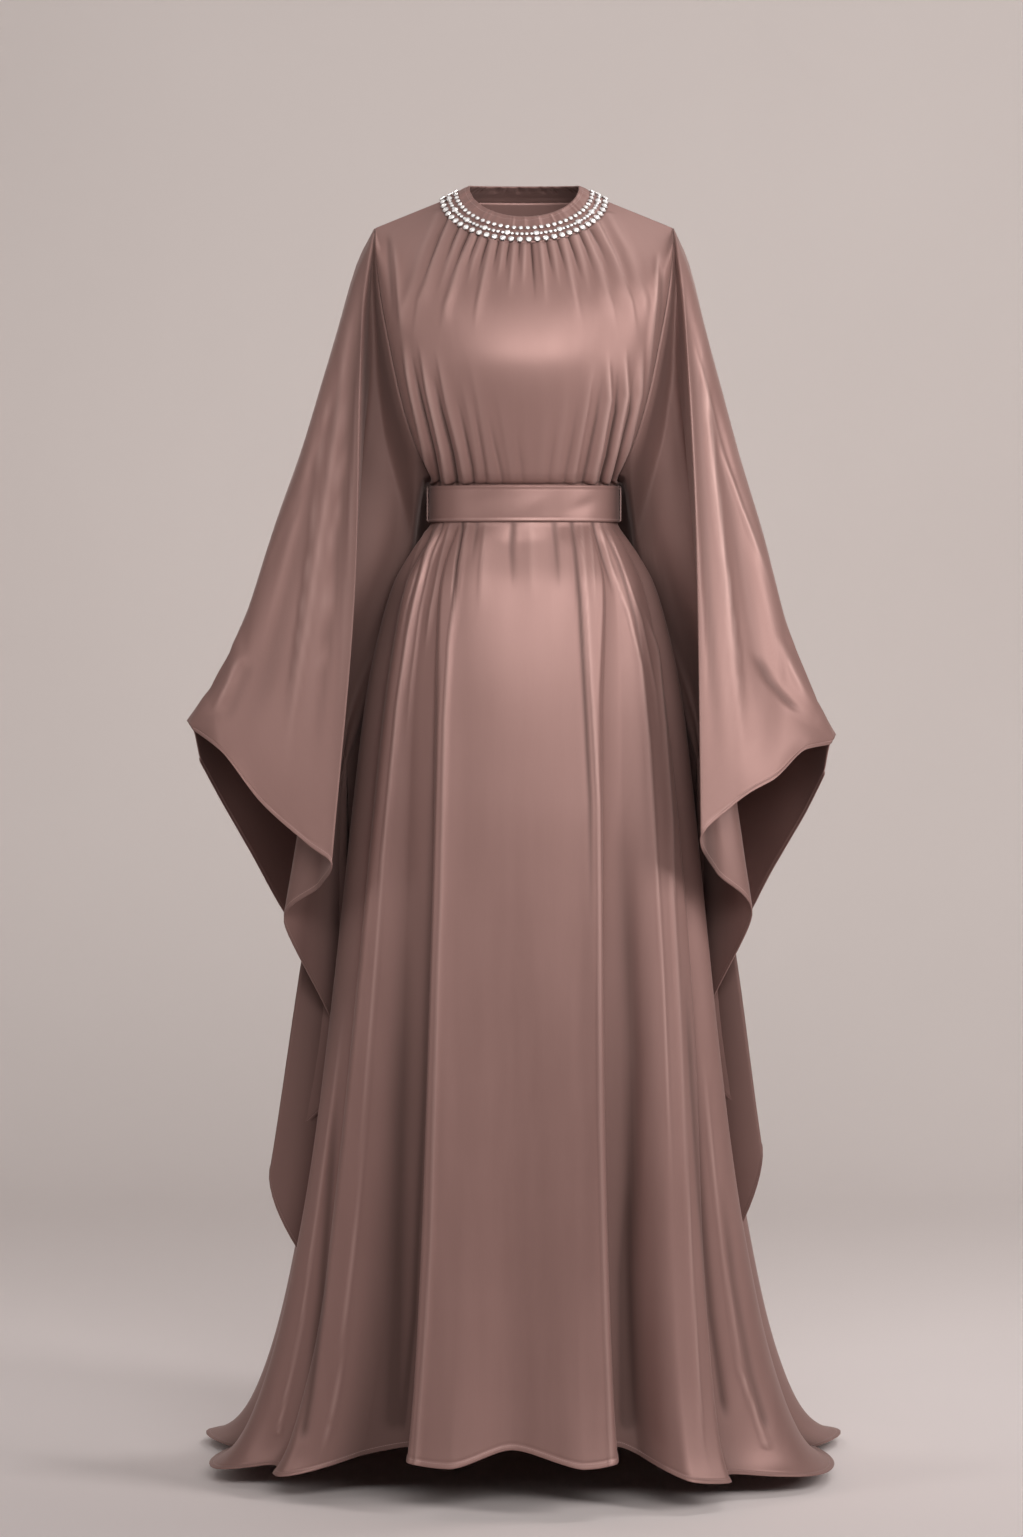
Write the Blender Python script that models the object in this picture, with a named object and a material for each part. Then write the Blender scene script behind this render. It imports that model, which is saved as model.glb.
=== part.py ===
"""A satin abaya, worn: stand neckband with three rows of crystals, gathered bodice, flat belt, full-length
gathered skirt, and very wide butterfly sleeves whose free edges hang in zigzag folds beside the skirt.

Sizes are in metres. Tables give heights above the floor, and the finished garment is moved down by
HELD_HEIGHT, so that the origin is where the shoulders hold it. X is to the viewer's right and the front
faces -Y."""

import math

import bmesh
import bpy
import numpy as np

HELD_HEIGHT = 1.440
WALL = 0.0012
# Edges that meet at a seam are cut back by this much, so that their thick corners stay about 0.3 mm apart.
SIDE_SEAM_TRIM = 0.0009
SHOULDER_SEAM_TRIM = 0.0008

# Neck: rings from the top edge of the band to the seam that the bodice is gathered onto.
NECK_RINGS = (
    # ring           half_width  front_y  back_y  front_z  side_z  back_z
    ("top edge", 0.0625, -0.0575, 0.0560, 1.4553, 1.4948, 1.4990),
    ("stand", 0.0705, -0.0650, 0.0625, 1.4470, 1.4915, 1.4960),
    ("upper row", 0.0776, -0.0715, 0.0680, 1.4400, 1.4869, 1.4920),
    ("middle row", 0.0858, -0.0785, 0.0735, 1.4325, 1.4832, 1.4885),
    ("gathered seam", 0.0945, -0.0860, 0.0790, 1.4240, 1.4775, 1.4835),
)
NECK_GATHERS = 24
NECK_GATHER_DEPTH = 0.0008
# Ring positions over which the band's gathers grow and fade.
NECK_GATHER_RINGS = ((0.0, 0.5), (1.2, 2.2))

CRYSTAL_ROWS = (
    # name               ring position  width   height
    ("crystal_row_upper", 1.95, 0.0046, 0.0022),
    ("crystal_row_middle", 2.90, 0.0042, 0.0020),
    ("crystal_row_lower", 3.72, 0.0062, 0.0030),
)
CRYSTAL_CLEAR = 0.0005

# The armhole seam runs from the shoulder tip to the belt. The back one is nearer the middle plane.
ARMHOLE = (
    # place           half_width  front_y  height
    ("shoulder tip", 0.1700, 0.0000, 1.4470),
    ("above", 0.1690, -0.0340, 1.4250),
    ("chest", 0.1625, -0.0500, 1.3700),
    ("bust", 0.1505, -0.0590, 1.3050),
    ("under bust", 0.1370, -0.0610, 1.2430),
    ("low", 0.1215, -0.0520, 1.1950),
    ("blouse", 0.1095, -0.0340, 1.1690),
    ("belt", 0.1045, -0.0240, 1.1590),
)
BACK_ARMHOLE_SHARE = 0.90

# Under the belt the bodice's side seam runs from its top to the waist seam.
SIDE_SEAM = (
    # place       half_width  height
    ("top", 0.1043, 1.1570),
    ("waist", 0.1054, 1.1357),
)
# Bodice rows: where the row ends, where it crosses the centre line, and the angle of the ellipse that joins
# them. Edge places: -1 to 0 run along the shoulder line, 0 to 7 down the armhole, and 8 to 9 down the side seam.
FRONT_BODICE_ROWS = (
    # row           edge    centre_y  centre_z  edge_angle
    ("neck seam", -1.00, -0.0863, 1.4236, 90),
    ("shoulder", 0.00, -0.1110, 1.3680, 84),
    ("chest", 1.60, -0.1225, 1.3300, 78),
    ("bust", 2.90, -0.1265, 1.2880, 76),
    ("under bust", 4.10, -0.1200, 1.2380, 76),
    ("above belt", 5.20, -0.1080, 1.1900, 76),
    ("blouse", 6.20, -0.0985, 1.1640, 76),
    ("armhole end", 7.00, -0.0910, 1.1560, 77),
    ("belt top", 8.00, -0.0848, 1.1530, 92),
    ("waist seam", 9.00, -0.0848, 1.1357, 92),
)
BACK_BODICE_ROWS = (
    ("neck seam", -1.00, 0.0793, 1.4831, 90),
    ("shoulder", 0.00, 0.1010, 1.4200, 84),
    ("upper back", 1.60, 0.1130, 1.3600, 78),
    ("blades", 2.90, 0.1180, 1.3000, 76),
    ("back", 4.10, 0.1080, 1.2400, 76),
    ("above belt", 5.20, 0.0960, 1.1900, 76),
    ("blouse", 6.20, 0.0890, 1.1640, 76),
    ("armhole end", 7.00, 0.0830, 1.1560, 77),
    ("belt top", 8.00, 0.0768, 1.1530, 87),
    ("waist seam", 9.00, 0.0768, 1.1357, 87),
)
# Rows of the sheet in each step of those tables.
BODICE_STEPS = (2, 2, 1, 1, 1, 1, 1, 1, 1)
BODICE_NECK_WAVES = 15
BODICE_NECK_DEPTH = 0.0016
# Between these rows of the tables the gathers under the neck seam grow, and then fade.
NECK_WAVE_ROWS = ((0.01, 0.25), (0.5, 2.2))
# Beyond this share of the half width the cloth is held flat by its seam.
EDGE_HELD = 0.90
# Creases that rise from the belt: where each starts and ends across the front, how high it rises, its depth.
FRONT_CREASES = (
    # at_belt  at_top  top_height  depth
    (-0.88, -0.80, 1.300, 0.0045),
    (-0.72, -0.62, 1.305, 0.0050),
    (-0.55, -0.50, 1.300, 0.0042),
    (-0.38, -0.42, 1.250, 0.0026),
    (-0.20, -0.34, 1.240, 0.0024),
    (0.02, -0.05, 1.210, 0.0018),
    (0.20, 0.26, 1.240, 0.0024),
    (0.42, 0.44, 1.270, 0.0030),
    (0.60, 0.58, 1.305, 0.0045),
    (0.78, 0.70, 1.300, 0.0050),
    (0.92, 0.86, 1.280, 0.0040),
)
BACK_CREASES = tuple((-a * 0.94, -b * 0.94, top - 0.01, d * 0.9) for a, b, top, d in FRONT_CREASES)
CREASE_WIDTH = 0.055
CREASE_FADE = 0.35
# Heights over which the creases leave the belt.
BLOUSE_HEIGHTS = (1.154, 1.175)

BELT_TOP = 1.1520
BELT_BOTTOM = 1.1110
WAIST_SEAM = 1.1340
BELT_WALL = 0.0020
# The belt clears the cloth that it holds in by this much.
BELT_CLEAR = 0.0005
BELT_FLARE = 0.0004
LOOP_WIDTH = 0.0050
LOOP_WALL = 0.0015
LOOP_CLEAR = 0.0008
LOOP_LINE = (
    # place      above the belt's edge, drawn in from its face
    ("end", 0.0019, 0.0026),
    ("bend", 0.0016, 0.0004),
    ("face", -0.0040, 0.0000),
)
LOOP_FOOT_RISE = 0.0005

# Skirt form without its folds.
SKIRT_FORM = (
    # height  half_width  half_depth  centre_y
    (0.000, 0.345, 0.315, 0.120),
    (0.060, 0.318, 0.296, 0.107),
    (0.140, 0.293, 0.268, 0.090),
    (0.270, 0.266, 0.233, 0.066),
    (0.360, 0.250, 0.213, 0.050),
    (0.520, 0.227, 0.185, 0.030),
    (0.700, 0.203, 0.158, 0.014),
    (0.800, 0.190, 0.145, 0.008),
    (0.920, 0.173, 0.130, 0.004),
    (0.980, 0.161, 0.120, 0.002),
    (1.040, 0.145, 0.107, 0.000),
    (1.075, 0.127, 0.095, -0.001),
    (1.098, 0.1125, 0.0852, -0.003),
    (1.110, 0.1062, 0.0812, -0.004),
    (1.134, 0.1062, 0.0812, -0.004),
)
# Rows of the skirt's sheet that keep one height all round. Below them the rows spread down to each line's hem.
LEVEL_ROWS = (WAIST_SEAM, 1.110, 1.098, 1.078, 1.040, 0.975)
FOLD_LEVELS = (0.0, 0.50, 0.89, 1.085, 1.109, WAIST_SEAM)
ANGLE_LEVELS = (0.0, 0.89, 1.11)
BELT_FOLD_DEPTH = 0.0030
# How gently the cloth turns from hanging to lying, and the height above which it only hangs.
FLOOR_BEND = 0.045
FLOOR_BEND_TOP = 0.30
# One row for each ridge or valley line, from the left side seam over the front to the right one: its angle
# from the centre front at the waist, hip and hem, how far it stands out at hip, knee and hem, its hem's height
# (below 0 is length that lies on the floor), and how many small waist gathers lie between it and the next line.
FRONT_FOLDS = (
    # line            waist   hip    hem   out_hip out_knee out_hem hem_z  gathers
    ("left seam", -90.0, -91.0, -93.0, -0.008, -0.044, -0.034, -0.030, 0),
    ("left side", -82.0, -77.0, -68.0, 0.010, 0.008, 0.018, -0.012, 0),
    ("left dip", -72.0, -67.0, -58.0, -0.002, -0.006, -0.014, 0.010, 0),
    ("left outer", -62.0, -58.0, -49.0, 0.006, 0.012, 0.020, 0.010, 0),
    ("left valley", -53.0, -47.0, -37.5, -0.008, -0.022, -0.034, 0.042, 0),
    ("left foot", -45.5, -36.5, -25.0, -0.005, -0.020, -0.030, 0.060, 0),
    ("left edge", -41.0, -31.5, -21.5, 0.005, 0.013, 0.015, 0.050, 1),
    ("left lobe", -29.0, -21.0, -14.0, 0.001, 0.004, 0.015, 0.046, 3),
    ("middle", -3.0, -2.0, -2.5, -0.001, -0.004, -0.010, 0.066, 3),
    ("right lobe", 29.0, 18.0, 11.0, 0.001, 0.003, 0.014, 0.046, 1),
    ("right edge", 41.0, 26.5, 16.8, 0.005, 0.012, 0.012, 0.050, 0),
    ("right foot", 45.0, 31.0, 20.0, -0.004, -0.018, -0.030, 0.062, 0),
    ("right valley", 50.0, 39.0, 25.0, -0.008, -0.022, -0.034, 0.050, 0),
    ("right inner", 57.0, 51.0, 31.0, 0.004, 0.010, 0.020, 0.020, 0),
    ("right sharp", 64.0, 62.0, 38.0, 0.005, 0.012, 0.020, 0.012, 0),
    ("right dip", 69.0, 66.5, 45.0, -0.004, -0.012, -0.020, 0.010, 0),
    ("right side", 79.0, 76.0, 62.0, 0.010, 0.008, 0.018, -0.012, 0),
    ("right seam", 90.0, 91.0, 93.0, -0.008, -0.044, -0.034, -0.030, 0),
)
# The back, from the right side seam round to the left one.
BACK_FOLDS = (
    ("right seam", 90.0, 91.0, 93.0, -0.008, -0.044, -0.034, -0.030, 0),
    ("right outer", 102.0, 108.0, 110.0, 0.004, 0.014, 0.020, -0.036, 0),
    ("right inner dip", 112.0, 117.0, 120.0, -0.006, -0.014, -0.010, -0.034, 0),
    ("right back", 123.0, 127.0, 131.0, 0.007, 0.016, 0.016, -0.050, 1),
    ("right back dip", 136.0, 138.0, 141.0, -0.006, -0.018, -0.014, -0.046, 1),
    ("right middle", 150.0, 151.0, 154.0, 0.006, 0.014, 0.016, -0.066, 1),
    ("right centre dip", 163.0, 163.0, 165.0, -0.006, -0.016, -0.012, -0.060, 1),
    ("centre back", 178.0, 179.0, 178.0, 0.007, 0.016, 0.016, -0.074, 1),
    ("left centre dip", 194.0, 193.0, 192.0, -0.006, -0.018, -0.014, -0.060, 1),
    ("left middle", 208.0, 207.0, 205.0, 0.006, 0.015, 0.016, -0.068, 1),
    ("left back dip", 221.0, 220.0, 217.0, -0.007, -0.018, -0.014, -0.048, 1),
    ("left back", 234.0, 232.0, 229.0, 0.006, 0.014, 0.016, -0.052, 0),
    ("left inner dip", 246.0, 243.0, 240.0, -0.006, -0.014, -0.010, -0.034, 0),
    ("left outer", 258.0, 252.0, 250.0, 0.004, 0.014, 0.020, -0.036, 0),
    ("left seam", 270.0, 269.0, 267.0, -0.008, -0.044, -0.034, -0.030, 0),
)
WAIST_GATHER_DEPTH = 0.0022
# Heights over which the waist gathers grow, and over which the belt flattens them.
GATHER_HEIGHTS = (1.030, 1.100)
BELT_PRESS = (1.098, 1.110)

# The top of the sleeve runs from the wrist up over the arm to the shoulder tip.
OVERARM = (
    # share   half_width  y       height
    (0.00, 0.3860, -0.0200, 0.8840),
    (0.12, 0.3500, -0.0180, 0.9360),
    (0.28, 0.3170, -0.0120, 1.0080),
    (0.45, 0.2860, -0.0050, 1.1060),
    (0.62, 0.2530, 0.0000, 1.2000),
    (0.80, 0.2160, 0.0000, 1.3220),
    (0.92, 0.1890, 0.0000, 1.4120),
    (1.00, 0.1715, 0.0000, 1.4455),
)
# One row for each line of the sleeve, from the wrist round the front to the lowest corner and back round the
# back. top: up to 1 it is a share of the overarm, from 1 to 2 of the front armhole, from 3 to 2 of the back one.
SLEEVE_LINES = (
    # line         top    near_x  near_y   mid_x   mid_y   mid_z   hem_x   hem_y   hem_z
    ("wrist", 0.00, 0.3840, -0.034, 0.3820, -0.042, 0.8800, 0.3760, -0.046, 0.8740),
    ("cuff", 0.10, 0.3600, -0.046, 0.3530, -0.062, 0.8900, 0.3440, -0.082, 0.8520),
    ("forearm", 0.30, 0.3180, -0.052, 0.3120, -0.078, 0.9000, 0.2960, -0.112, 0.7940),
    ("elbow", 0.60, 0.2560, -0.056, 0.2540, -0.090, 0.9700, 0.2430, -0.138, 0.7490),
    ("front fold", 1.00, 0.1840, -0.058, 0.1893, -0.105, 1.0700, 0.2158, -0.150, 0.7260),
    ("fold back", 1.15, 0.1770, -0.040, 0.1930, -0.070, 1.0400, 0.2320, -0.108, 0.6990),
    ("outer two", 1.40, 0.1640, -0.022, 0.2200, -0.042, 0.9700, 0.2744, -0.068, 0.6564),
    ("inner three", 1.75, 0.1420, -0.010, 0.2140, 0.012, 0.8400, 0.2200, 0.032, 0.4780),
    ("outer four", 1.95, 0.1540, -0.002, 0.2360, 0.012, 0.7600, 0.2980, 0.020, 0.3510),
    ("lowest", 2.00, 0.1620, 0.018, 0.2200, 0.034, 0.7000, 0.2610, 0.050, 0.2290),
    ("outer back", 2.05, 0.1460, 0.050, 0.2300, 0.090, 0.7600, 0.2880, 0.120, 0.3600),
    ("inner back", 2.30, 0.1080, 0.084, 0.1900, 0.138, 0.8700, 0.2350, 0.180, 0.5000),
    ("back slope", 2.80, 0.1600, 0.066, 0.2030, 0.130, 0.9850, 0.2440, 0.197, 0.5720),
    ("back fold", 3.00, 0.1830, 0.056, 0.2100, 0.120, 1.0300, 0.2480, 0.205, 0.6000),
    ("elbow back", 0.60, 0.2560, 0.054, 0.2620, 0.105, 0.9600, 0.2820, 0.165, 0.6450),
    ("forearm back", 0.30, 0.3180, 0.044, 0.3140, 0.080, 0.8950, 0.3200, 0.110, 0.7220),
    ("cuff back", 0.10, 0.3600, 0.034, 0.3540, 0.052, 0.8700, 0.3530, 0.065, 0.7880),
    ("wrist back", 0.00, 0.3840, 0.004, 0.3810, 0.016, 0.8700, 0.3740, 0.024, 0.8350),
)
SLEEVE_STATIONS = (0.0, 0.035, 0.14, 0.50, 1.0)
# Below the shoulder the sleeve first stands out from its seam, which carries it clear over the belt.
SEAM_STAND = (0.0120, 0.0, -0.0020)
SEAM_STAND_LEAST = 0.25
# Over the arm it goes out sideways sooner than down, as round a forearm.
ARM_ROUNDING = (0.25, 0.64, 0.20)
ARMHOLE_STEP = 0.0015
SHOULDER_X = 0.170
# Top places between which the sleeve's edge crosses below the arm, from the front armhole to the back one.
UNDERARM = (1.9, 2.1)
# How far round from the shoulder the seam's own hang takes over from the arm, and how near the belt it stands
# out.
SEAM_EASE = 0.3
WAIST_EASE = (0.08, 0.28)
# The right sleeve reaches less far beyond the shoulder, its wrist is lower, and its hem hangs a little higher:
# what is added to its lines, by name.
RIGHT_REACH = 0.866
RIGHT_WRIST_DROP = 0.016
RIGHT_CHANGES = (
    # line           mid_x   hem_x    hem_z
    ("cuff", 0.000, 0.000, 0.016),
    ("forearm", 0.002, 0.002, 0.032),
    ("elbow", 0.007, 0.000, 0.043),
    ("front fold", 0.009, -0.014, 0.028),
    ("fold back", 0.007, -0.007, 0.016),
    ("outer two", 0.000, 0.000, 0.008),
    ("inner three", 0.000, 0.000, 0.023),
    ("outer four", 0.000, -0.002, 0.026),
    ("lowest", 0.005, 0.002, 0.022),
    ("outer back", 0.000, 0.000, 0.020),
)

SKIRT_ROWS = 8
HEM_CROWDING = 1.25
COLUMNS_PER_FOLD = 3
COLUMNS_PER_GATHER = 4
BODICE_COLUMNS = 45
SLEEVE_COLUMNS_PER_LINE = 3
SLEEVE_ROWS = 10
SLEEVE_CROWDING = 1.3
NECK_SEGMENTS = 48
NECK_LEVELS = 4
CRYSTAL_SEGMENTS = 36
CRYSTAL_CORNERS = 4
# The rows' direction down the band is read over this share of a ring to each side.
RING_STEP = 0.3
BELT_SEGMENTS = 40
# The neckband stops this share of a ring short of the gathered seam, to leave the seam gap.
NECK_SEAM_SHARE = 0.12

SATIN = ("satin", (0.342, 0.202, 0.181), 0.42, 0.0)
BELT_SATIN = ("belt satin", (0.318, 0.184, 0.166), 0.40, 0.0)
CRYSTAL = ("crystal", (0.800, 0.780, 0.760), 0.08, 0.0)


def clear_scene():
    for thing in list(bpy.data.objects):
        bpy.data.objects.remove(thing, do_unlink=True)


def material(finish):
    name, colour, roughness, metallic = finish
    if name in bpy.data.materials:
        return bpy.data.materials[name]
    made = bpy.data.materials.new(name)
    made.use_nodes = True
    shader = made.node_tree.nodes["Principled BSDF"]
    shader.inputs["Base Color"].default_value = (*colour, 1.0)
    shader.inputs["Roughness"].default_value = roughness
    shader.inputs["Metallic"].default_value = metallic
    return made


def smooth_through(knots, values, at):
    """A smooth curve through the values, level at each crest and dip, read at the places given."""
    knots = np.asarray(knots, float)
    values = np.asarray(values, float)
    at = np.asarray(at, float)
    steps = np.diff(knots).reshape((-1,) + (1,) * (values.ndim - 1))
    rises = np.diff(values, axis=0) / steps
    slopes = np.zeros_like(values)
    slopes[0] = rises[0]
    slopes[-1] = rises[-1]
    before, after = rises[:-1], rises[1:]
    same_way = before * after > 0
    safe_before = np.where(same_way, before, 1.0)
    safe_after = np.where(same_way, after, 1.0)
    first = 2 * steps[1:] + steps[:-1]
    second = steps[1:] + 2 * steps[:-1]
    slopes[1:-1] = np.where(
        same_way, (first + second) / (first / safe_before + second / safe_after), 0.0
    )
    place = np.clip(np.searchsorted(knots, at, side="right") - 1, 0, len(knots) - 2)
    shape = at.shape + (1,) * (values.ndim - 1)
    step = (knots[place + 1] - knots[place]).reshape(shape)
    t = np.clip((at - knots[place]).reshape(shape) / step, 0.0, 1.0)
    return (
        (1 + 2 * t) * (1 - t) ** 2 * values[place]
        + t * (1 - t) ** 2 * step * slopes[place]
        + t * t * (3 - 2 * t) * values[place + 1]
        - t * t * (1 - t) * step * slopes[place + 1]
    )


def column(table, index):
    return np.array([row[index] for row in table], float)


def fade(value, low, high):
    """0 below low and 1 above high, eased between."""
    t = np.clip((value - low) / (high - low), 0.0, 1.0)
    return t * t * (3 - 2 * t)


def sheet_mesh(name, points, joined=False):
    """One grid of cloth through an array of points, rows by columns. Joined edges meet where points do."""
    rows, columns = points.shape[0] - 1, points.shape[1] - 1
    sheet = bmesh.new()
    bmesh.ops.create_grid(sheet, x_segments=columns, y_segments=rows, size=1.0)
    for vertex in sheet.verts:
        across = round((vertex.co.x + 1) / 2 * columns)
        down = round((vertex.co.y + 1) / 2 * rows)
        vertex.co = points[down, across]
    if joined:
        bmesh.ops.remove_doubles(sheet, verts=sheet.verts, dist=0.00001)
        bmesh.ops.recalc_face_normals(sheet, faces=sheet.faces)
    mesh = bpy.data.meshes.new(name)
    sheet.to_mesh(mesh)
    sheet.free()
    return mesh


def add_piece(name, mesh, finish, wall=None):
    """The named solid. A wall thickens a sheet evenly to both sides."""
    piece = bpy.data.objects.new(name, mesh)
    bpy.context.scene.collection.objects.link(piece)
    mesh.materials.append(material(finish))
    mesh.shade_smooth()
    piece.location.z = -HELD_HEIGHT
    if wall:
        thick = piece.modifiers.new("wall", "SOLIDIFY")
        thick.thickness = wall
        thick.offset = 0.0
        thick.use_rim = True
    return piece


def normals_of(points):
    """The unit normal of the sheet at each point, facing away from the body's axis."""
    if np.allclose(points[:, 0], points[:, -1]):
        wrapped = np.concatenate((points[:, -2:-1], points, points[:, 1:2]), axis=1)
        across = np.gradient(wrapped, axis=1)[:, 1:-1]
    else:
        across = np.gradient(points, axis=1)
    down = np.gradient(points, axis=0)
    normals = np.cross(across, down)
    normals /= np.maximum(np.linalg.norm(normals, axis=2, keepdims=True), 1e-9)
    away = points * np.array([1.0, 1.0, 0.0])
    return -normals if (normals * away).sum() < 0 else normals


def neck_point(ring, angle):
    """Points on the neck at a ring position (0 is the top edge) and an angle from the front, in radians."""
    rings = np.arange(len(NECK_RINGS))
    half, front_y, back_y, front_z, side_z, back_z = (
        smooth_through(rings, column(NECK_RINGS, i), ring) for i in range(1, 7)
    )
    forward = np.cos(angle)
    reach_y = np.where(forward > 0, front_y, -back_y)
    reach_z = np.where(forward > 0, front_z - side_z, side_z - back_z)
    return np.stack((half * np.sin(angle), reach_y * forward, side_z + reach_z * forward), axis=-1)


def armhole_point(place, back=False):
    """A point of the right armhole seam, place running from 0 at the shoulder tip to 7 at the belt."""
    steps = np.arange(len(ARMHOLE))
    x, y, z = (smooth_through(steps, column(ARMHOLE, i), place) for i in (1, 2, 3))
    return np.stack((x, -BACK_ARMHOLE_SHARE * y if back else y, z), axis=-1)


def bodice_edge_point(place, back):
    """A point of the bodice's right edge at one of the tables' edge places."""
    tip = armhole_point(np.array(0.0))
    if place < 0:
        neck_side = neck_point(np.array(4.0), np.array(math.pi / 2))
        return tip + (neck_side - tip) * -place
    if place <= 7:
        return armhole_point(np.array(place), back)
    (_, top_x, top_z), (_, waist_x, waist_z) = SIDE_SEAM
    seam_y = SIDE_SEAM_TRIM if back else -SIDE_SEAM_TRIM
    seam_top = np.array([top_x, seam_y, top_z])
    if place <= 8:
        end = armhole_point(np.array(7.0), back)
        return end + (seam_top - end) * (place - 7)
    return seam_top + (np.array([waist_x, seam_y, waist_z]) - seam_top) * (place - 8)


def bodice_points(rows, creases, back, columns, steps):
    """The bodice's sheet: rows run from side to side, and columns fan from the neck down to the waist."""
    down = np.concatenate([k + np.arange(count) / count for k, count in enumerate(steps)] + [[len(steps)]])
    knots = np.arange(len(rows))
    edge_places = smooth_through(knots, column(rows, 1), down)
    edge = np.array([bodice_edge_point(place, back) for place in edge_places])[:, None, :]
    centre_y, centre_z, turn = (
        smooth_through(knots, column(rows, i), down)[:, None] for i in (2, 3, 4)
    )
    turn = np.radians(turn)
    across = np.linspace(-1.0, 1.0, columns + 1)[None, :]
    angle = turn * across
    share = (1 - np.cos(angle)) / (1 - np.cos(turn))
    points = np.stack(
        (
            edge[..., 0] * np.sin(angle) / np.sin(turn),
            centre_y + (edge[..., 1] - centre_y) * share,
            centre_z + (edge[..., 2] - centre_z) * share,
        ),
        axis=-1,
    )
    on_shoulder = 1 - fade(edge_places, 0.0, 0.5)[:, None]
    cut_back = SHOULDER_SEAM_TRIM if back else -SHOULDER_SEAM_TRIM
    points[..., 1] += cut_back * on_shoulder * fade(np.abs(across), EDGE_HELD, 1.0)
    height = points[..., 2]
    waves = np.cos(math.pi * BODICE_NECK_WAVES * (across + 1))
    grown, gone = NECK_WAVE_ROWS
    lift = BODICE_NECK_DEPTH * waves * (fade(down, *grown) * (1 - fade(down, *gone)))[:, None]
    for at_belt, at_top, top_height, depth in creases:
        rise = np.clip((height - WAIST_SEAM) / (top_height - WAIST_SEAM), 0.0, 1.0)
        middle = at_belt + (at_top - at_belt) * rise
        ridge = np.exp(-(((across - middle) / CREASE_WIDTH) ** 2))
        lift = lift + depth * ridge * (1 - fade(rise, CREASE_FADE, 1.0)) * fade(height, *BLOUSE_HEIGHTS)
    lift = lift * (1 - fade(np.abs(across), EDGE_HELD, 1.0))
    return points + normals_of(points) * lift[..., None]


def skirt_columns(folds, per_fold):
    """Column places across the fold lines, closer where there are waist gathers, and each gather's wave."""
    places, waves = [], []
    for index, row in enumerate(folds[:-1]):
        count = max(per_fold, COLUMNS_PER_GATHER * row[8])
        for step in range(count):
            places.append(index + step / count)
            waves.append(math.cos(2 * math.pi * row[8] * step / count) if row[8] else 0.0)
    return np.array(places + [len(folds) - 1.0]), np.array(waves + [0.0])


def skirt_points(folds, per_fold, levels):
    """The skirt's sheet: each fold line hangs from the waist to its hem, and what is too long lies outwards."""
    places, waves = skirt_columns(folds, per_fold)
    lines = np.arange(len(folds))
    down = np.linspace(0.0, 1.0, levels + 1)[1:, None]
    down = 1 - (1 - down) ** HEM_CROWDING
    hems = column(folds, 7)[None, :]
    upper = np.array(LEVEL_ROWS)[:, None] + 0 * hems
    hang = np.concatenate((upper, LEVEL_ROWS[-1] + (hems - LEVEL_ROWS[-1]) * down))
    angles = np.empty_like(hang)
    outs = np.empty_like(hang)
    for k, row in enumerate(folds):
        angles[:, k] = smooth_through(ANGLE_LEVELS, (row[3], row[2], row[1]), hang[:, k])
        at_belt = math.copysign(BELT_FOLD_DEPTH, row[4])
        outs[:, k] = smooth_through(FOLD_LEVELS, (row[6], row[5], row[4], at_belt, 0.0, 0.0), hang[:, k])
    angle = np.radians(smooth_through(lines, angles.T, places).T)
    out = smooth_through(lines, outs.T, places).T
    hang = smooth_through(lines, hang.T, places).T
    gather = fade(hang, *GATHER_HEIGHTS) * (1 - fade(hang, *BELT_PRESS))
    out = out + WAIST_GATHER_DEPTH * waves[None, :] * gather
    bend = (np.sqrt(hang**2 + FLOOR_BEND**2) - hang) / 2
    height = hang + bend * (1 - fade(hang, 2 * FLOOR_BEND, FLOOR_BEND_TOP))
    levels_up = column(SKIRT_FORM, 0)
    half_width, half_depth, centre_y = (
        smooth_through(levels_up, column(SKIRT_FORM, i), height) for i in (1, 2, 3)
    )
    lying = np.maximum(height - hang, 0.0)
    x = (half_width + out + lying) * np.sin(angle)
    y = centre_y - (half_depth + out + lying) * np.cos(angle)
    return trimmed(np.stack((x, y, height + WALL), axis=-1), SIDE_SEAM_TRIM)


def sleeve_top(place):
    """A point of the edge that the sleeve hangs from, at the table's top place, on the right."""
    if place <= 1.0:
        shares = column(OVERARM, 0)
        return np.array([smooth_through(shares, column(OVERARM, i), np.array(place)) for i in (1, 2, 3)])
    last = len(ARMHOLE) - 1
    front = armhole_point(np.array(min(place - 1.0, 1.0) * last))
    back = armhole_point(np.array(min(3.0 - place, 1.0) * last), back=True)
    low, high = UNDERARM
    across = np.clip((place - low) / (high - low), 0.0, 1.0)
    return front + (back - front) * across + np.array([ARMHOLE_STEP, 0.0, 0.0])


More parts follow.
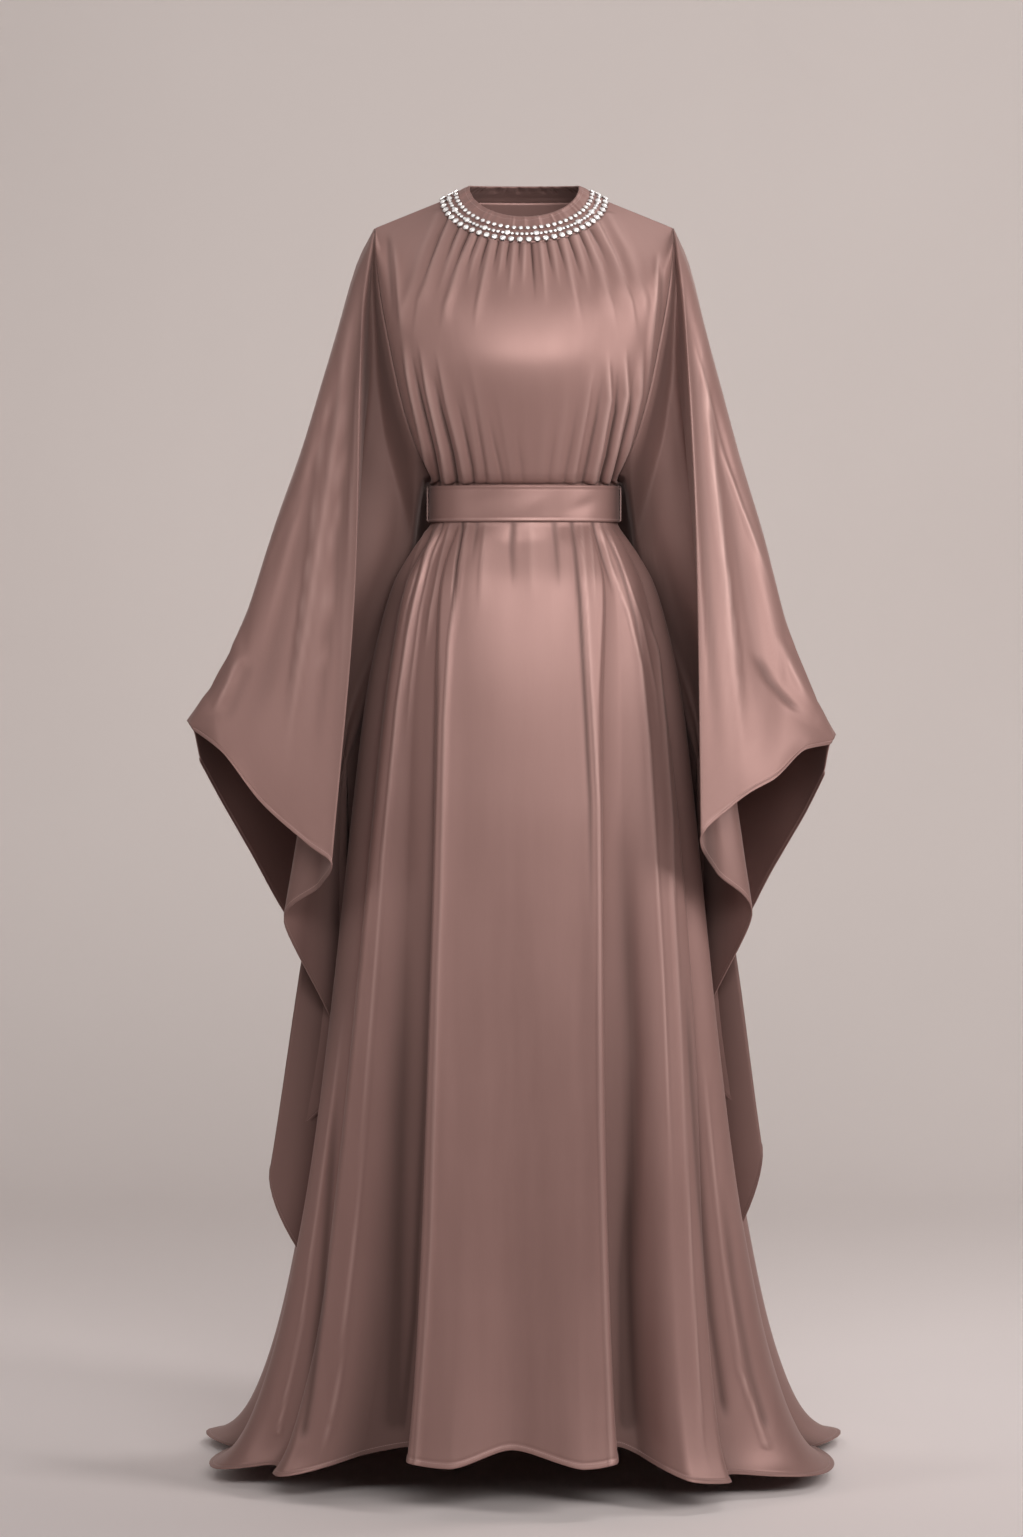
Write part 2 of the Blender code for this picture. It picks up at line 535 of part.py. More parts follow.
def sleeve_points(side, per_line, levels):
    """The sleeve's sheet: columns hang from the arm or the armhole, and their hems rise and fall in zigzags."""
    names = [row[0] for row in SLEEVE_LINES]
    lines = np.arange(len(names))
    tops, near_x, near_y, *lower = (column(SLEEVE_LINES, i) for i in range(1, 10))
    mid = np.stack(lower[:3], axis=1)
    hem = np.stack(lower[3:], axis=1)
    reach = 1.0
    wrist_drop = 0.0
    if side > 0:
        reach = RIGHT_REACH
        wrist_drop = RIGHT_WRIST_DROP
        for line, mid_x, hem_x, hem_z in RIGHT_CHANGES:
            mid[names.index(line)] += (mid_x, 0.0, 0.0)
            hem[names.index(line)] += (hem_x, 0.0, hem_z)
    places = np.linspace(0, lines[-1], lines[-1] * per_line + 1)
    back_fold = names.index("back fold")
    back_arm_tops = np.interp(places, lines[back_fold:], np.append(1.0, tops[back_fold + 1 :]))
    top_places = np.where(places > back_fold, back_arm_tops, np.interp(places, lines, tops))
    top = np.array([sleeve_top(place) for place in top_places])
    mid = smooth_through(lines, mid, places)
    hem = smooth_through(lines, hem, places)
    for line in (top, mid, hem):
        line[:, 2] -= wrist_drop * (1 - fade(top_places, 0.0, 0.5))
    near = smooth_through(lines, np.stack((near_x, near_y, 0 * near_x), axis=1), places)
    near[:, 2] = top[:, 2] + (hem[:, 2] - top[:, 2]) * SLEEVE_STATIONS[2]
    over_arm = top + (near - top) * np.array(ARM_ROUNDING)
    at_waist = 1 - fade(np.abs(top_places - 2.0), *WAIST_EASE)
    stand = top + np.array(SEAM_STAND) * (SEAM_STAND_LEAST + (1 - SEAM_STAND_LEAST) * at_waist)[:, None]
    on_seam = fade(np.minimum(top_places - 1.0, 3.0 - top_places), 0.0, SEAM_EASE)[:, None]
    start = over_arm + (stand - over_arm) * on_seam
    down = np.linspace(0.0, 1.0, levels + 1) ** SLEEVE_CROWDING
    points = smooth_through(SLEEVE_STATIONS, np.stack((top, start, near, mid, hem)), down)
    beyond = np.maximum(points[..., 0] - SHOULDER_X, 0.0)
    points[..., 0] -= beyond * (1 - reach)
    points[..., 0] *= side
    return points


def trimmed(points, trim):
    """The sheet with its side edges cut back along the cloth, to leave a seam gap."""
    for edge, inner in ((0, 1), (-1, -2)):
        step = points[:, inner] - points[:, edge]
        length = np.linalg.norm(step, axis=1, keepdims=True)
        points[:, edge] += step * trim / length
    return points


def around(segments):
    """Angles once round the body from the centre back, the last one equal to the first."""
    turns = np.arange(segments + 1) % segments
    return math.pi + 2 * math.pi * turns / segments


def neckband_points(segments, levels):
    """The band from its top edge down and out to the gathered seam, softly gathered on the stand."""
    angle = around(segments)[None, :]
    ring = np.linspace(0.0, len(NECK_RINGS) - 1 - NECK_SEAM_SHARE, levels + 1)[:, None]
    points = neck_point(ring, angle)
    grown, gone = NECK_GATHER_RINGS
    waves = np.cos(NECK_GATHERS * angle) * fade(ring, *grown) * (1 - fade(ring, *gone))
    return points + normals_of(points) * (NECK_GATHER_DEPTH * waves)[..., None]


def crystal_ring_points(ring, width, height, segments, corners):
    """A low closed ring that lies on the neckband, its section a flattened polygon."""
    angle = around(segments)[None, :]
    near = neck_point(np.array([[ring - RING_STEP], [ring], [ring + RING_STEP]]), angle)
    along = near[2:] - near[:1]
    along /= np.linalg.norm(along, axis=2, keepdims=True)
    normal = normals_of(near)[1:2]
    over_gathers = NECK_GATHER_DEPTH * (1 - fade(ring, *NECK_GATHER_RINGS[1]))
    centre = near[1:2] + normal * (WALL / 2 + CRYSTAL_CLEAR + height / 2 + over_gathers)
    turn = (2 * math.pi * (np.arange(corners + 1) % corners) / corners)[:, None, None]
    return centre + along * np.cos(turn) * width / 2 + normal * np.sin(turn) * height / 2


def belt_points(segments):
    """The flat band, just clear of the gathered cloth that it holds in."""
    angle = around(segments)[None, :]
    _, half_width, half_depth, centre_y = SKIRT_FORM[-1]
    out = WALL / 2 + BELT_CLEAR + BELT_WALL / 2 + np.array([[0.0], [BELT_FLARE]])
    height = np.array([[BELT_TOP], [BELT_BOTTOM]])
    x = (half_width + out) * np.sin(angle)
    y = centre_y - (half_depth + out) * np.cos(angle)
    return np.stack((x, y, height + 0 * angle), axis=-1)


def belt_loop_points(side):
    """A narrow strap that passes over the belt at the side seam, its upper end turned in above the belt."""
    _, half_width, _, centre_y = SKIRT_FORM[-1]
    face = half_width + WALL / 2 + BELT_CLEAR + BELT_WALL + LOOP_CLEAR + LOOP_WALL / 2
    line = [(face - drawn_in, BELT_TOP + above) for _, above, drawn_in in LOOP_LINE]
    line.append((face, BELT_BOTTOM + LOOP_FOOT_RISE))
    edges = (centre_y - LOOP_WIDTH / 2, centre_y + LOOP_WIDTH / 2)
    return np.array([[(side * x, y, z) for y in edges] for x, z in line])


def make_neck():
    band = sheet_mesh("neckband", neckband_points(NECK_SEGMENTS, NECK_LEVELS), joined=True)
    add_piece("neckband", band, SATIN, WALL)
    for name, ring, width, height in CRYSTAL_ROWS:
        points = crystal_ring_points(ring, width, height, CRYSTAL_SEGMENTS, CRYSTAL_CORNERS)
        add_piece(name, sheet_mesh(name, points, joined=True), CRYSTAL)


def make_bodice():
    front = bodice_points(FRONT_BODICE_ROWS, FRONT_CREASES, False, BODICE_COLUMNS, BODICE_STEPS)
    add_piece("bodice_front", sheet_mesh("bodice_front", front), SATIN, WALL)
    back = bodice_points(BACK_BODICE_ROWS, BACK_CREASES, True, BODICE_COLUMNS, BODICE_STEPS)
    add_piece("bodice_back", sheet_mesh("bodice_back", back), SATIN, WALL)


def make_skirt():
    front = skirt_points(FRONT_FOLDS, COLUMNS_PER_FOLD, SKIRT_ROWS)
    add_piece("skirt_front", sheet_mesh("skirt_front", front), SATIN, WALL)
    back = skirt_points(BACK_FOLDS, COLUMNS_PER_FOLD, SKIRT_ROWS)
    add_piece("skirt_back", sheet_mesh("skirt_back", back), SATIN, WALL)


def make_belt():
    add_piece("belt", sheet_mesh("belt", belt_points(BELT_SEGMENTS), joined=True), BELT_SATIN, BELT_WALL)
    for name, side in (("belt_loop_left", -1), ("belt_loop_right", 1)):
        add_piece(name, sheet_mesh(name, belt_loop_points(side)), BELT_SATIN, LOOP_WALL)


def make_sleeves():
    for name, side in (("sleeve_left", -1), ("sleeve_right", 1)):
        points = sleeve_points(side, SLEEVE_COLUMNS_PER_LINE, SLEEVE_ROWS)
        add_piece(name, sheet_mesh(name, points, joined=True), SATIN, WALL)


def main():
    clear_scene()
    make_neck()
    make_bodice()
    make_belt()
    make_skirt()
    make_sleeves()


main()
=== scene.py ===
"""The looks of a satin abaya, worn: cloth panels with their folds, gathers and creases, rolled hems, an
edge-stitched belt with thread loops, and three rows of set stones round the neckband.

Sizes are in metres. Tables give heights above the floor, and HELD_HEIGHT is taken off as the meshes are made.
X is to the viewer's right and the front faces -Y."""

import math

import bmesh
import bpy
import numpy as np
from mathutils import Matrix, Vector


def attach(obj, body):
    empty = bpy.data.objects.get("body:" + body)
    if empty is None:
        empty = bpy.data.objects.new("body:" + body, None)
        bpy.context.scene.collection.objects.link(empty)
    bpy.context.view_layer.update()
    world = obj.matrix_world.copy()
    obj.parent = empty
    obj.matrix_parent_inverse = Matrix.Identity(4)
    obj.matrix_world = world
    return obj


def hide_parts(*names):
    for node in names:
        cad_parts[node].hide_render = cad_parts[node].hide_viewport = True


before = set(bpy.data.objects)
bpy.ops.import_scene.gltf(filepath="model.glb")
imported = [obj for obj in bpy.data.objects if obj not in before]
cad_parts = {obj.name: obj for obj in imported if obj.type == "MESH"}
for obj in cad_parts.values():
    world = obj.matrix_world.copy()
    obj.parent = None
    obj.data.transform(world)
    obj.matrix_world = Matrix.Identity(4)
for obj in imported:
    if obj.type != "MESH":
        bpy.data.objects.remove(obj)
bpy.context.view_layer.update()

HELD_HEIGHT = 1.440
WALL = 0.0012
BELT_WALL = 0.0014
# Edges that meet at a seam are cut back by this much, so that their thick corners stay about 0.3 mm apart.
SIDE_SEAM_TRIM = 0.0009
SHOULDER_SEAM_TRIM = 0.0008
# Neck: rings from the top edge of the band to the seam that the bodice is gathered onto.
NECK_RINGS = (
    # ring           half_width  front_y  back_y  front_z  side_z  back_z
    ("top edge", 0.0625, -0.0575, 0.0560, 1.4553, 1.4948, 1.4990),
    ("stand", 0.0705, -0.0650, 0.0625, 1.4470, 1.4915, 1.4960),
    ("upper row", 0.0776, -0.0715, 0.0680, 1.4400, 1.4869, 1.4920),
    ("middle row", 0.0858, -0.0785, 0.0735, 1.4325, 1.4832, 1.4885),
    ("gathered seam", 0.0945, -0.0860, 0.0790, 1.4240, 1.4775, 1.4835),
)
# The armhole seam runs from the shoulder tip to the belt. The back one is nearer the middle plane.
ARMHOLE = (
    # place           half_width  front_y  height
    ("shoulder tip", 0.1700, 0.0000, 1.4470),
    ("above", 0.1690, -0.0340, 1.4250),
    ("chest", 0.1625, -0.0500, 1.3700),
    ("bust", 0.1505, -0.0590, 1.3050),
    ("under bust", 0.1370, -0.0610, 1.2430),
    ("low", 0.1215, -0.0520, 1.1950),
    ("blouse", 0.1095, -0.0340, 1.1690),
    ("belt", 0.1045, -0.0240, 1.1590),
)
BACK_ARMHOLE_SHARE = 0.90

# Under the belt the bodice's side seam runs from its top to the waist seam.
SIDE_SEAM = (
    # place       half_width  height
    ("top", 0.1043, 1.1570),
    ("waist", 0.1054, 1.1357),
)
# Bodice rows: where the row ends, where it crosses the centre line, and the angle of the ellipse that joins
# them. Edge places: -1 to 0 run along the shoulder line, 0 to 7 down the armhole, and 8 to 9 down the side
# seam.
FRONT_BODICE_ROWS = (
    # row           edge    centre_y  centre_z  edge_angle
    ("neck seam", -1.00, -0.0863, 1.4236, 90),
    ("shoulder", 0.00, -0.1110, 1.3680, 84),
    ("chest", 1.60, -0.1225, 1.3300, 78),
    ("bust", 2.90, -0.1265, 1.2880, 76),
    ("under bust", 4.10, -0.1200, 1.2380, 76),
    ("above belt", 5.20, -0.1080, 1.1900, 76),
    ("blouse", 6.20, -0.0985, 1.1640, 76),
    ("armhole end", 7.00, -0.0910, 1.1560, 77),
    ("belt top", 8.00, -0.0848, 1.1530, 92),
    ("waist seam", 9.00, -0.0848, 1.1357, 92),
)
BACK_BODICE_ROWS = (
    ("neck seam", -1.00, 0.0793, 1.4831, 90),
    ("shoulder", 0.00, 0.1010, 1.4200, 84),
    ("upper back", 1.60, 0.1130, 1.3600, 78),
    ("blades", 2.90, 0.1180, 1.3000, 76),
    ("back", 4.10, 0.1080, 1.2400, 76),
    ("above belt", 5.20, 0.0960, 1.1900, 76),
    ("blouse", 6.20, 0.0890, 1.1640, 76),
    ("armhole end", 7.00, 0.0830, 1.1560, 77),
    ("belt top", 8.00, 0.0768, 1.1530, 87),
    ("waist seam", 9.00, 0.0768, 1.1357, 87),
)
# Beyond this share of the half width the cloth is held flat by its seam.
EDGE_HELD = 0.90
BELT_TOP = 1.1520
BELT_BOTTOM = 1.1110
WAIST_SEAM = 1.1340
# The belt clears the cloth that it holds in by this much, its middle stands off further by BELT_STAND, and
# its lower edge by BELT_FLARE more.
BELT_CLEAR = 0.0005
BELT_STAND = 0.0008
BELT_FLARE = 0.0004
# Skirt form without its folds.
SKIRT_FORM = (
    # height  half_width  half_depth  centre_y
    (0.000, 0.345, 0.315, 0.120),
    (0.060, 0.318, 0.296, 0.107),
    (0.140, 0.293, 0.268, 0.090),
    (0.270, 0.266, 0.233, 0.066),
    (0.360, 0.250, 0.213, 0.050),
    (0.520, 0.227, 0.185, 0.030),
    (0.700, 0.203, 0.158, 0.014),
    (0.800, 0.190, 0.145, 0.008),
    (0.920, 0.173, 0.130, 0.004),
    (0.980, 0.161, 0.120, 0.002),
    (1.040, 0.145, 0.107, 0.000),
    (1.075, 0.127, 0.095, -0.001),
    (1.098, 0.1125, 0.0852, -0.003),
    (1.110, 0.1062, 0.0812, -0.004),
    (1.134, 0.1062, 0.0812, -0.004),
)
# Heights that the fold tables' depths and angles belong to, from the hem up, and the folds' depth at the
# belt.
FOLD_LEVELS = (0.0, 0.50, 0.89, 1.085, 1.109, WAIST_SEAM)
ANGLE_LEVELS = (0.0, 0.89, 1.11)
BELT_FOLD_DEPTH = 0.0030
# How gently the cloth turns from hanging to lying, and the height above which it only hangs.
FLOOR_BEND = 0.045
FLOOR_BEND_TOP = 0.30
# One row for each ridge or valley line, from the left side seam over the front to the right one: its angle
# from the centre front at the waist, hip and hem, how far it stands out at hip, knee and hem, its hem's
# height (below 0 is length that lies on the floor).
FRONT_FOLDS = (
    # line            waist   hip    hem   out_hip out_knee out_hem hem_z
    ("left seam", -90.0, -91.0, -93.0, -0.008, -0.044, -0.034, -0.030),
    ("left side", -82.0, -77.0, -68.0, 0.010, 0.008, 0.018, -0.012),
    ("left dip", -72.0, -67.0, -58.0, -0.002, -0.006, -0.014, 0.010),
    ("left outer", -62.0, -58.0, -49.0, 0.006, 0.012, 0.020, 0.010),
    ("left valley", -53.0, -47.0, -37.5, -0.008, -0.022, -0.034, 0.042),
    ("left foot", -45.5, -36.5, -25.0, -0.005, -0.020, -0.030, 0.060),
    ("left edge", -41.0, -31.5, -21.5, 0.005, 0.013, 0.015, 0.050),
    ("left lobe", -29.0, -21.0, -14.0, 0.001, 0.004, 0.015, 0.046),
    ("middle", -3.0, -2.0, -2.5, -0.001, -0.004, -0.010, 0.066),
    ("right lobe", 29.0, 18.0, 11.0, 0.001, 0.003, 0.014, 0.046),
    ("right edge", 41.0, 26.5, 16.8, 0.005, 0.012, 0.012, 0.050),
    ("right foot", 45.0, 31.0, 20.0, -0.004, -0.018, -0.030, 0.062),
    ("right valley", 50.0, 39.0, 25.0, -0.008, -0.022, -0.034, 0.050),
    ("right inner", 57.0, 51.0, 31.0, 0.004, 0.010, 0.020, 0.020),
    ("right sharp", 64.0, 62.0, 38.0, 0.005, 0.012, 0.020, 0.012),
    ("right dip", 69.0, 66.5, 45.0, -0.004, -0.012, -0.020, 0.010),
    ("right side", 79.0, 76.0, 62.0, 0.010, 0.008, 0.018, -0.012),
    ("right seam", 90.0, 91.0, 93.0, -0.008, -0.044, -0.034, -0.030),
)
# The back, from the right side seam round to the left one.
BACK_FOLDS = (
    ("right seam", 90.0, 91.0, 93.0, -0.008, -0.044, -0.034, -0.030),
    ("right outer", 102.0, 108.0, 110.0, 0.004, 0.014, 0.020, -0.036),
    ("right inner dip", 112.0, 117.0, 120.0, -0.006, -0.014, -0.010, -0.034),
    ("right back", 123.0, 127.0, 131.0, 0.007, 0.016, 0.016, -0.050),
    ("right back dip", 136.0, 138.0, 141.0, -0.006, -0.018, -0.014, -0.046),
    ("right middle", 150.0, 151.0, 154.0, 0.006, 0.014, 0.016, -0.066),
    ("right centre dip", 163.0, 163.0, 165.0, -0.006, -0.016, -0.012, -0.060),
    ("centre back", 178.0, 179.0, 178.0, 0.007, 0.016, 0.016, -0.074),
    ("left centre dip", 194.0, 193.0, 192.0, -0.006, -0.018, -0.014, -0.060),
    ("left middle", 208.0, 207.0, 205.0, 0.006, 0.015, 0.016, -0.068),
    ("left back dip", 221.0, 220.0, 217.0, -0.007, -0.018, -0.014, -0.048),
    ("left back", 234.0, 232.0, 229.0, 0.006, 0.014, 0.016, -0.052),
    ("left inner dip", 246.0, 243.0, 240.0, -0.006, -0.014, -0.010, -0.034),
    ("left outer", 258.0, 252.0, 250.0, 0.004, 0.014, 0.020, -0.036),
    ("left seam", 270.0, 269.0, 267.0, -0.008, -0.044, -0.034, -0.030),
)
# Heights between which the belt presses the skirt's creases flat.
BELT_PRESS = (1.098, 1.110)

# The top of the sleeve runs from the wrist up over the arm to the shoulder tip.
OVERARM = (
    # share   half_width  y       height
    (0.00, 0.3860, -0.0200, 0.8840),
    (0.12, 0.3500, -0.0180, 0.9360),
    (0.28, 0.3170, -0.0120, 1.0080),
    (0.45, 0.2860, -0.0050, 1.1060),
    (0.62, 0.2530, 0.0000, 1.2000),
    (0.80, 0.2160, 0.0000, 1.3220),
    (0.92, 0.1890, 0.0000, 1.4120),
    (1.00, 0.1715, 0.0000, 1.4455),
)
# One row for each line of the sleeve, from the wrist round the front to the lowest corner and back round
# the back. top: up to 1 it is a share of the overarm, from 1 to 2 of the front armhole, from 3 to 2 of the
# back one.
SLEEVE_LINES = (
    # line         top    near_x  near_y   mid_x   mid_y   mid_z   hem_x   hem_y   hem_z
    ("wrist", 0.00, 0.3840, -0.034, 0.3820, -0.042, 0.8800, 0.3760, -0.046, 0.8740),
    ("cuff", 0.10, 0.3600, -0.046, 0.3530, -0.062, 0.8900, 0.3440, -0.082, 0.8520),
    ("forearm", 0.30, 0.3180, -0.052, 0.3120, -0.078, 0.9000, 0.2960, -0.112, 0.7940),
    ("elbow", 0.60, 0.2560, -0.056, 0.2540, -0.090, 0.9700, 0.2430, -0.138, 0.7490),
    ("front fold", 1.00, 0.1840, -0.058, 0.1893, -0.105, 1.0700, 0.2158, -0.150, 0.7260),
    ("fold back", 1.15, 0.1770, -0.040, 0.1930, -0.070, 1.0400, 0.2320, -0.108, 0.6990),
    ("outer two", 1.40, 0.1640, -0.022, 0.2200, -0.042, 0.9700, 0.2744, -0.068, 0.6564),
    ("inner three", 1.75, 0.1420, -0.010, 0.2140, 0.012, 0.8400, 0.2200, 0.032, 0.4780),
    ("outer four", 1.95, 0.1540, -0.002, 0.2360, 0.012, 0.7600, 0.2980, 0.020, 0.3510),
    ("lowest", 2.00, 0.1620, 0.018, 0.2200, 0.034, 0.7000, 0.2610, 0.050, 0.2290),
    ("outer back", 2.05, 0.1460, 0.050, 0.2300, 0.090, 0.7600, 0.2880, 0.120, 0.3600),
    ("inner back", 2.30, 0.1080, 0.084, 0.1900, 0.138, 0.8700, 0.2350, 0.180, 0.5000),
    ("back slope", 2.80, 0.1600, 0.066, 0.2030, 0.130, 0.9850, 0.2440, 0.197, 0.5720),
    ("back fold", 3.00, 0.1830, 0.056, 0.2100, 0.120, 1.0300, 0.2480, 0.205, 0.6000),
    ("elbow back", 0.60, 0.2560, 0.054, 0.2620, 0.105, 0.9600, 0.2820, 0.165, 0.6450),
    ("forearm back", 0.30, 0.3180, 0.044, 0.3140, 0.080, 0.8950, 0.3200, 0.110, 0.7220),
    ("cuff back", 0.10, 0.3600, 0.034, 0.3540, 0.052, 0.8700, 0.3530, 0.065, 0.7880),
    ("wrist back", 0.00, 0.3840, 0.004, 0.3810, 0.016, 0.8700, 0.3740, 0.024, 0.8350),
)
SLEEVE_STATIONS = (0.0, 0.035, 0.14, 0.50, 1.0)
# Below the shoulder the sleeve first stands out from its seam, which carries it clear over the belt.
SEAM_STAND = (0.0062, 0.0, -0.0020)
SEAM_STAND_LEAST = 0.25
# Over the arm it goes out sideways sooner than down, as round a forearm.
ARM_ROUNDING = (0.25, 0.64, 0.20)
ARMHOLE_STEP = 0.0009
SHOULDER_X = 0.170
# Top places between which the sleeve's edge crosses below the arm, from the front armhole to the back one.
UNDERARM = (1.9, 2.1)
# How far round from the shoulder the seam's own hang takes over from the arm, and how near the belt it
# stands out.
SEAM_EASE = 0.3
WAIST_EASE = (0.08, 0.28)
# The right sleeve reaches less far beyond the shoulder, its wrist is lower, and its hem hangs a little
# higher: what is added to its lines, by name.
RIGHT_REACH = 0.866
RIGHT_WRIST_DROP = 0.016
RIGHT_CHANGES = (
    # line           mid_x   hem_x    hem_z
    ("cuff", 0.000, 0.000, 0.016),
    ("forearm", 0.002, 0.002, 0.032),
    ("elbow", 0.007, 0.000, 0.043),
    ("front fold", 0.009, -0.014, 0.028),
    ("fold back", 0.007, -0.007, 0.016),
    ("outer two", 0.000, 0.000, 0.008),
    ("inner three", 0.000, 0.000, 0.023),
    ("outer four", 0.000, -0.002, 0.026),
    ("lowest", 0.005, 0.002, 0.022),
    ("outer back", 0.000, 0.000, 0.020),
)

# Above this height the skirt's rows run level, and below it they follow the hem.
FREE_HEIGHT = 0.975
# Where the camera stands, which the places of the creases are given for, the height that it looks at, and
# how much height it sees in the plane of the shoulders.
CAMERA_X = -0.0144
CAMERA_DISTANCE = 5.0
CAMERA_HEIGHT = 1.05
SENSOR_HEIGHT = 36.0
AIM_HEIGHT = 0.828
SEEN_HEIGHT = 1.768

# Creases are soft ridges, or troughs where the depth is below 0. left and right are how far each reaches to
# its sides, the fades are how far it takes to rise from its top and to die out at its foot, and the line
# gives its places across and heights, as seen in the plane of the shoulders. Their sizes are tenths of a
# millimetre, and the back panels take the same creases, mirrored.
TENTHS_PER_METRE = 10000
# Gathers that fan out below the crystals, and the dark folds between them.
NECK_CREASES = (
    # crease, depth, left, right, top_fade, foot_fade, line
    ("shoulder left dark", -14, 30, 40, 160, 600, ((-1564, 14444), (-1541, 14007), (-1495, 13317))),
    ("shoulder left", 15, 30, 50, 300, 600, ((-1484, 14352), (-1437, 13777), (-1380, 13087))),
    ("shoulder right", 18, 40, 26, 300, 800, ((1530, 14237), (1507, 13662), (1426, 12972),
     (1346, 12282))),
    ("shoulder right dark", -12, 30, 26, 300, 600, ((1587, 14099), (1575, 13547), (1495, 12972))),
    ("outer left", 13, 60, 80, 30, 600, ((-966, 14674), (-1150, 14237), (-1380, 13524), (-1449, 13087))),
    ("far left", 24, 34, 90, 30, 1100, ((-828, 14593), (-1012, 14145), (-1196, 13662), (-1288, 13064))),
    ("far left dark", -16, 20, 22, 20, 600, ((-851, 14616), (-966, 14398), (-1104, 14007),
     (-1196, 13662))),
    ("left two", 20, 36, 50, 30, 600, ((-690, 14490), (-862, 14076), (-1001, 13662))),
    ("left two dark", -22, 16, 18, 20, 400, ((-736, 14513), (-828, 14306), (-920, 14007))),
    ("left three", 26, 30, 70, 30, 1000, ((-563, 14432), (-747, 14030), (-897, 13593), (-966, 13087))),
    ("left three dark", -26, 16, 18, 20, 500, ((-621, 14455), (-725, 14214), (-851, 13846))),
    ("left four", 15, 30, 36, 30, 400, ((-460, 14386), (-575, 14099), (-655, 13777))),
    ("left four dark", -22, 15, 17, 20, 340, ((-517, 14409), (-598, 14214), (-678, 13961))),
    ("left five", 23, 28, 60, 30, 800, ((-357, 14364), (-437, 14030), (-529, 13616), (-575, 13248))),
    ("left five dark", -26, 15, 17, 20, 440, ((-408, 14375), (-471, 14168), (-552, 13846))),
    ("left six", 15, 30, 36, 30, 360, ((-230, 14341), (-265, 14076), (-311, 13823))),
    ("left six dark", -22, 15, 16, 20, 300, ((-287, 14352), (-322, 14191), (-368, 13961))),
    ("left seven", 17, 30, 40, 30, 440, ((-109, 14318), (-138, 14030), (-173, 13662))),
    ("left seven dark", -22, 15, 16, 20, 300, ((-167, 14318), (-195, 14168), (-219, 13938))),
    ("middle", 18, 34, 30, 30, 400, ((11, 14318), (0, 14030), (-11, 13754))),
    ("middle left dark", -20, 15, 16, 20, 260, ((-52, 14318), (-63, 14168), (-69, 14007))),
    ("middle dark", -28, 16, 18, 20, 600, ((80, 14318), (98, 14076), (126, 13593))),
    ("right one", 20, 30, 40, 30, 500, ((184, 14329), (219, 14030), (265, 13593))),
    ("right one dark", -22, 15, 16, 20, 340, ((253, 14341), (287, 14168), (333, 13892))),
    ("right two", 16, 36, 30, 30, 400, ((311, 14352), (368, 14053), (425, 13731))),
    ("right two dark", -22, 15, 16, 20, 340, ((374, 14364), (425, 14191), (495, 13915))),
    ("right three", 23, 50, 30, 30, 700, ((437, 14375), (517, 14030), (609, 13616), (667, 13317))),
    ("right three dark", -24, 15, 17, 20, 440, ((500, 14398), (575, 14191), (667, 13846))),
    ("right four", 18, 45, 34, 30, 500, ((563, 14409), (678, 14053), (782, 13662))),
    ("right four dark", -24, 16, 17, 20, 440, ((627, 14432), (713, 14237), (817, 13915))),
    ("right five", 26, 70, 32, 30, 1000, ((678, 14455), (851, 14053), (1001, 13593), (1081, 13087))),
    ("right five dark", -20, 17, 19, 20, 600, ((747, 14479), (862, 14271), (1001, 13938))),
    ("far right", 24, 80, 34, 30, 1000, ((805, 14570), (1023, 14145), (1219, 13639), (1311, 13087))),
    ("outer right", 13, 80, 60, 30, 600, ((943, 14663), (1173, 14237), (1380, 13662), (1449, 13202))),
)
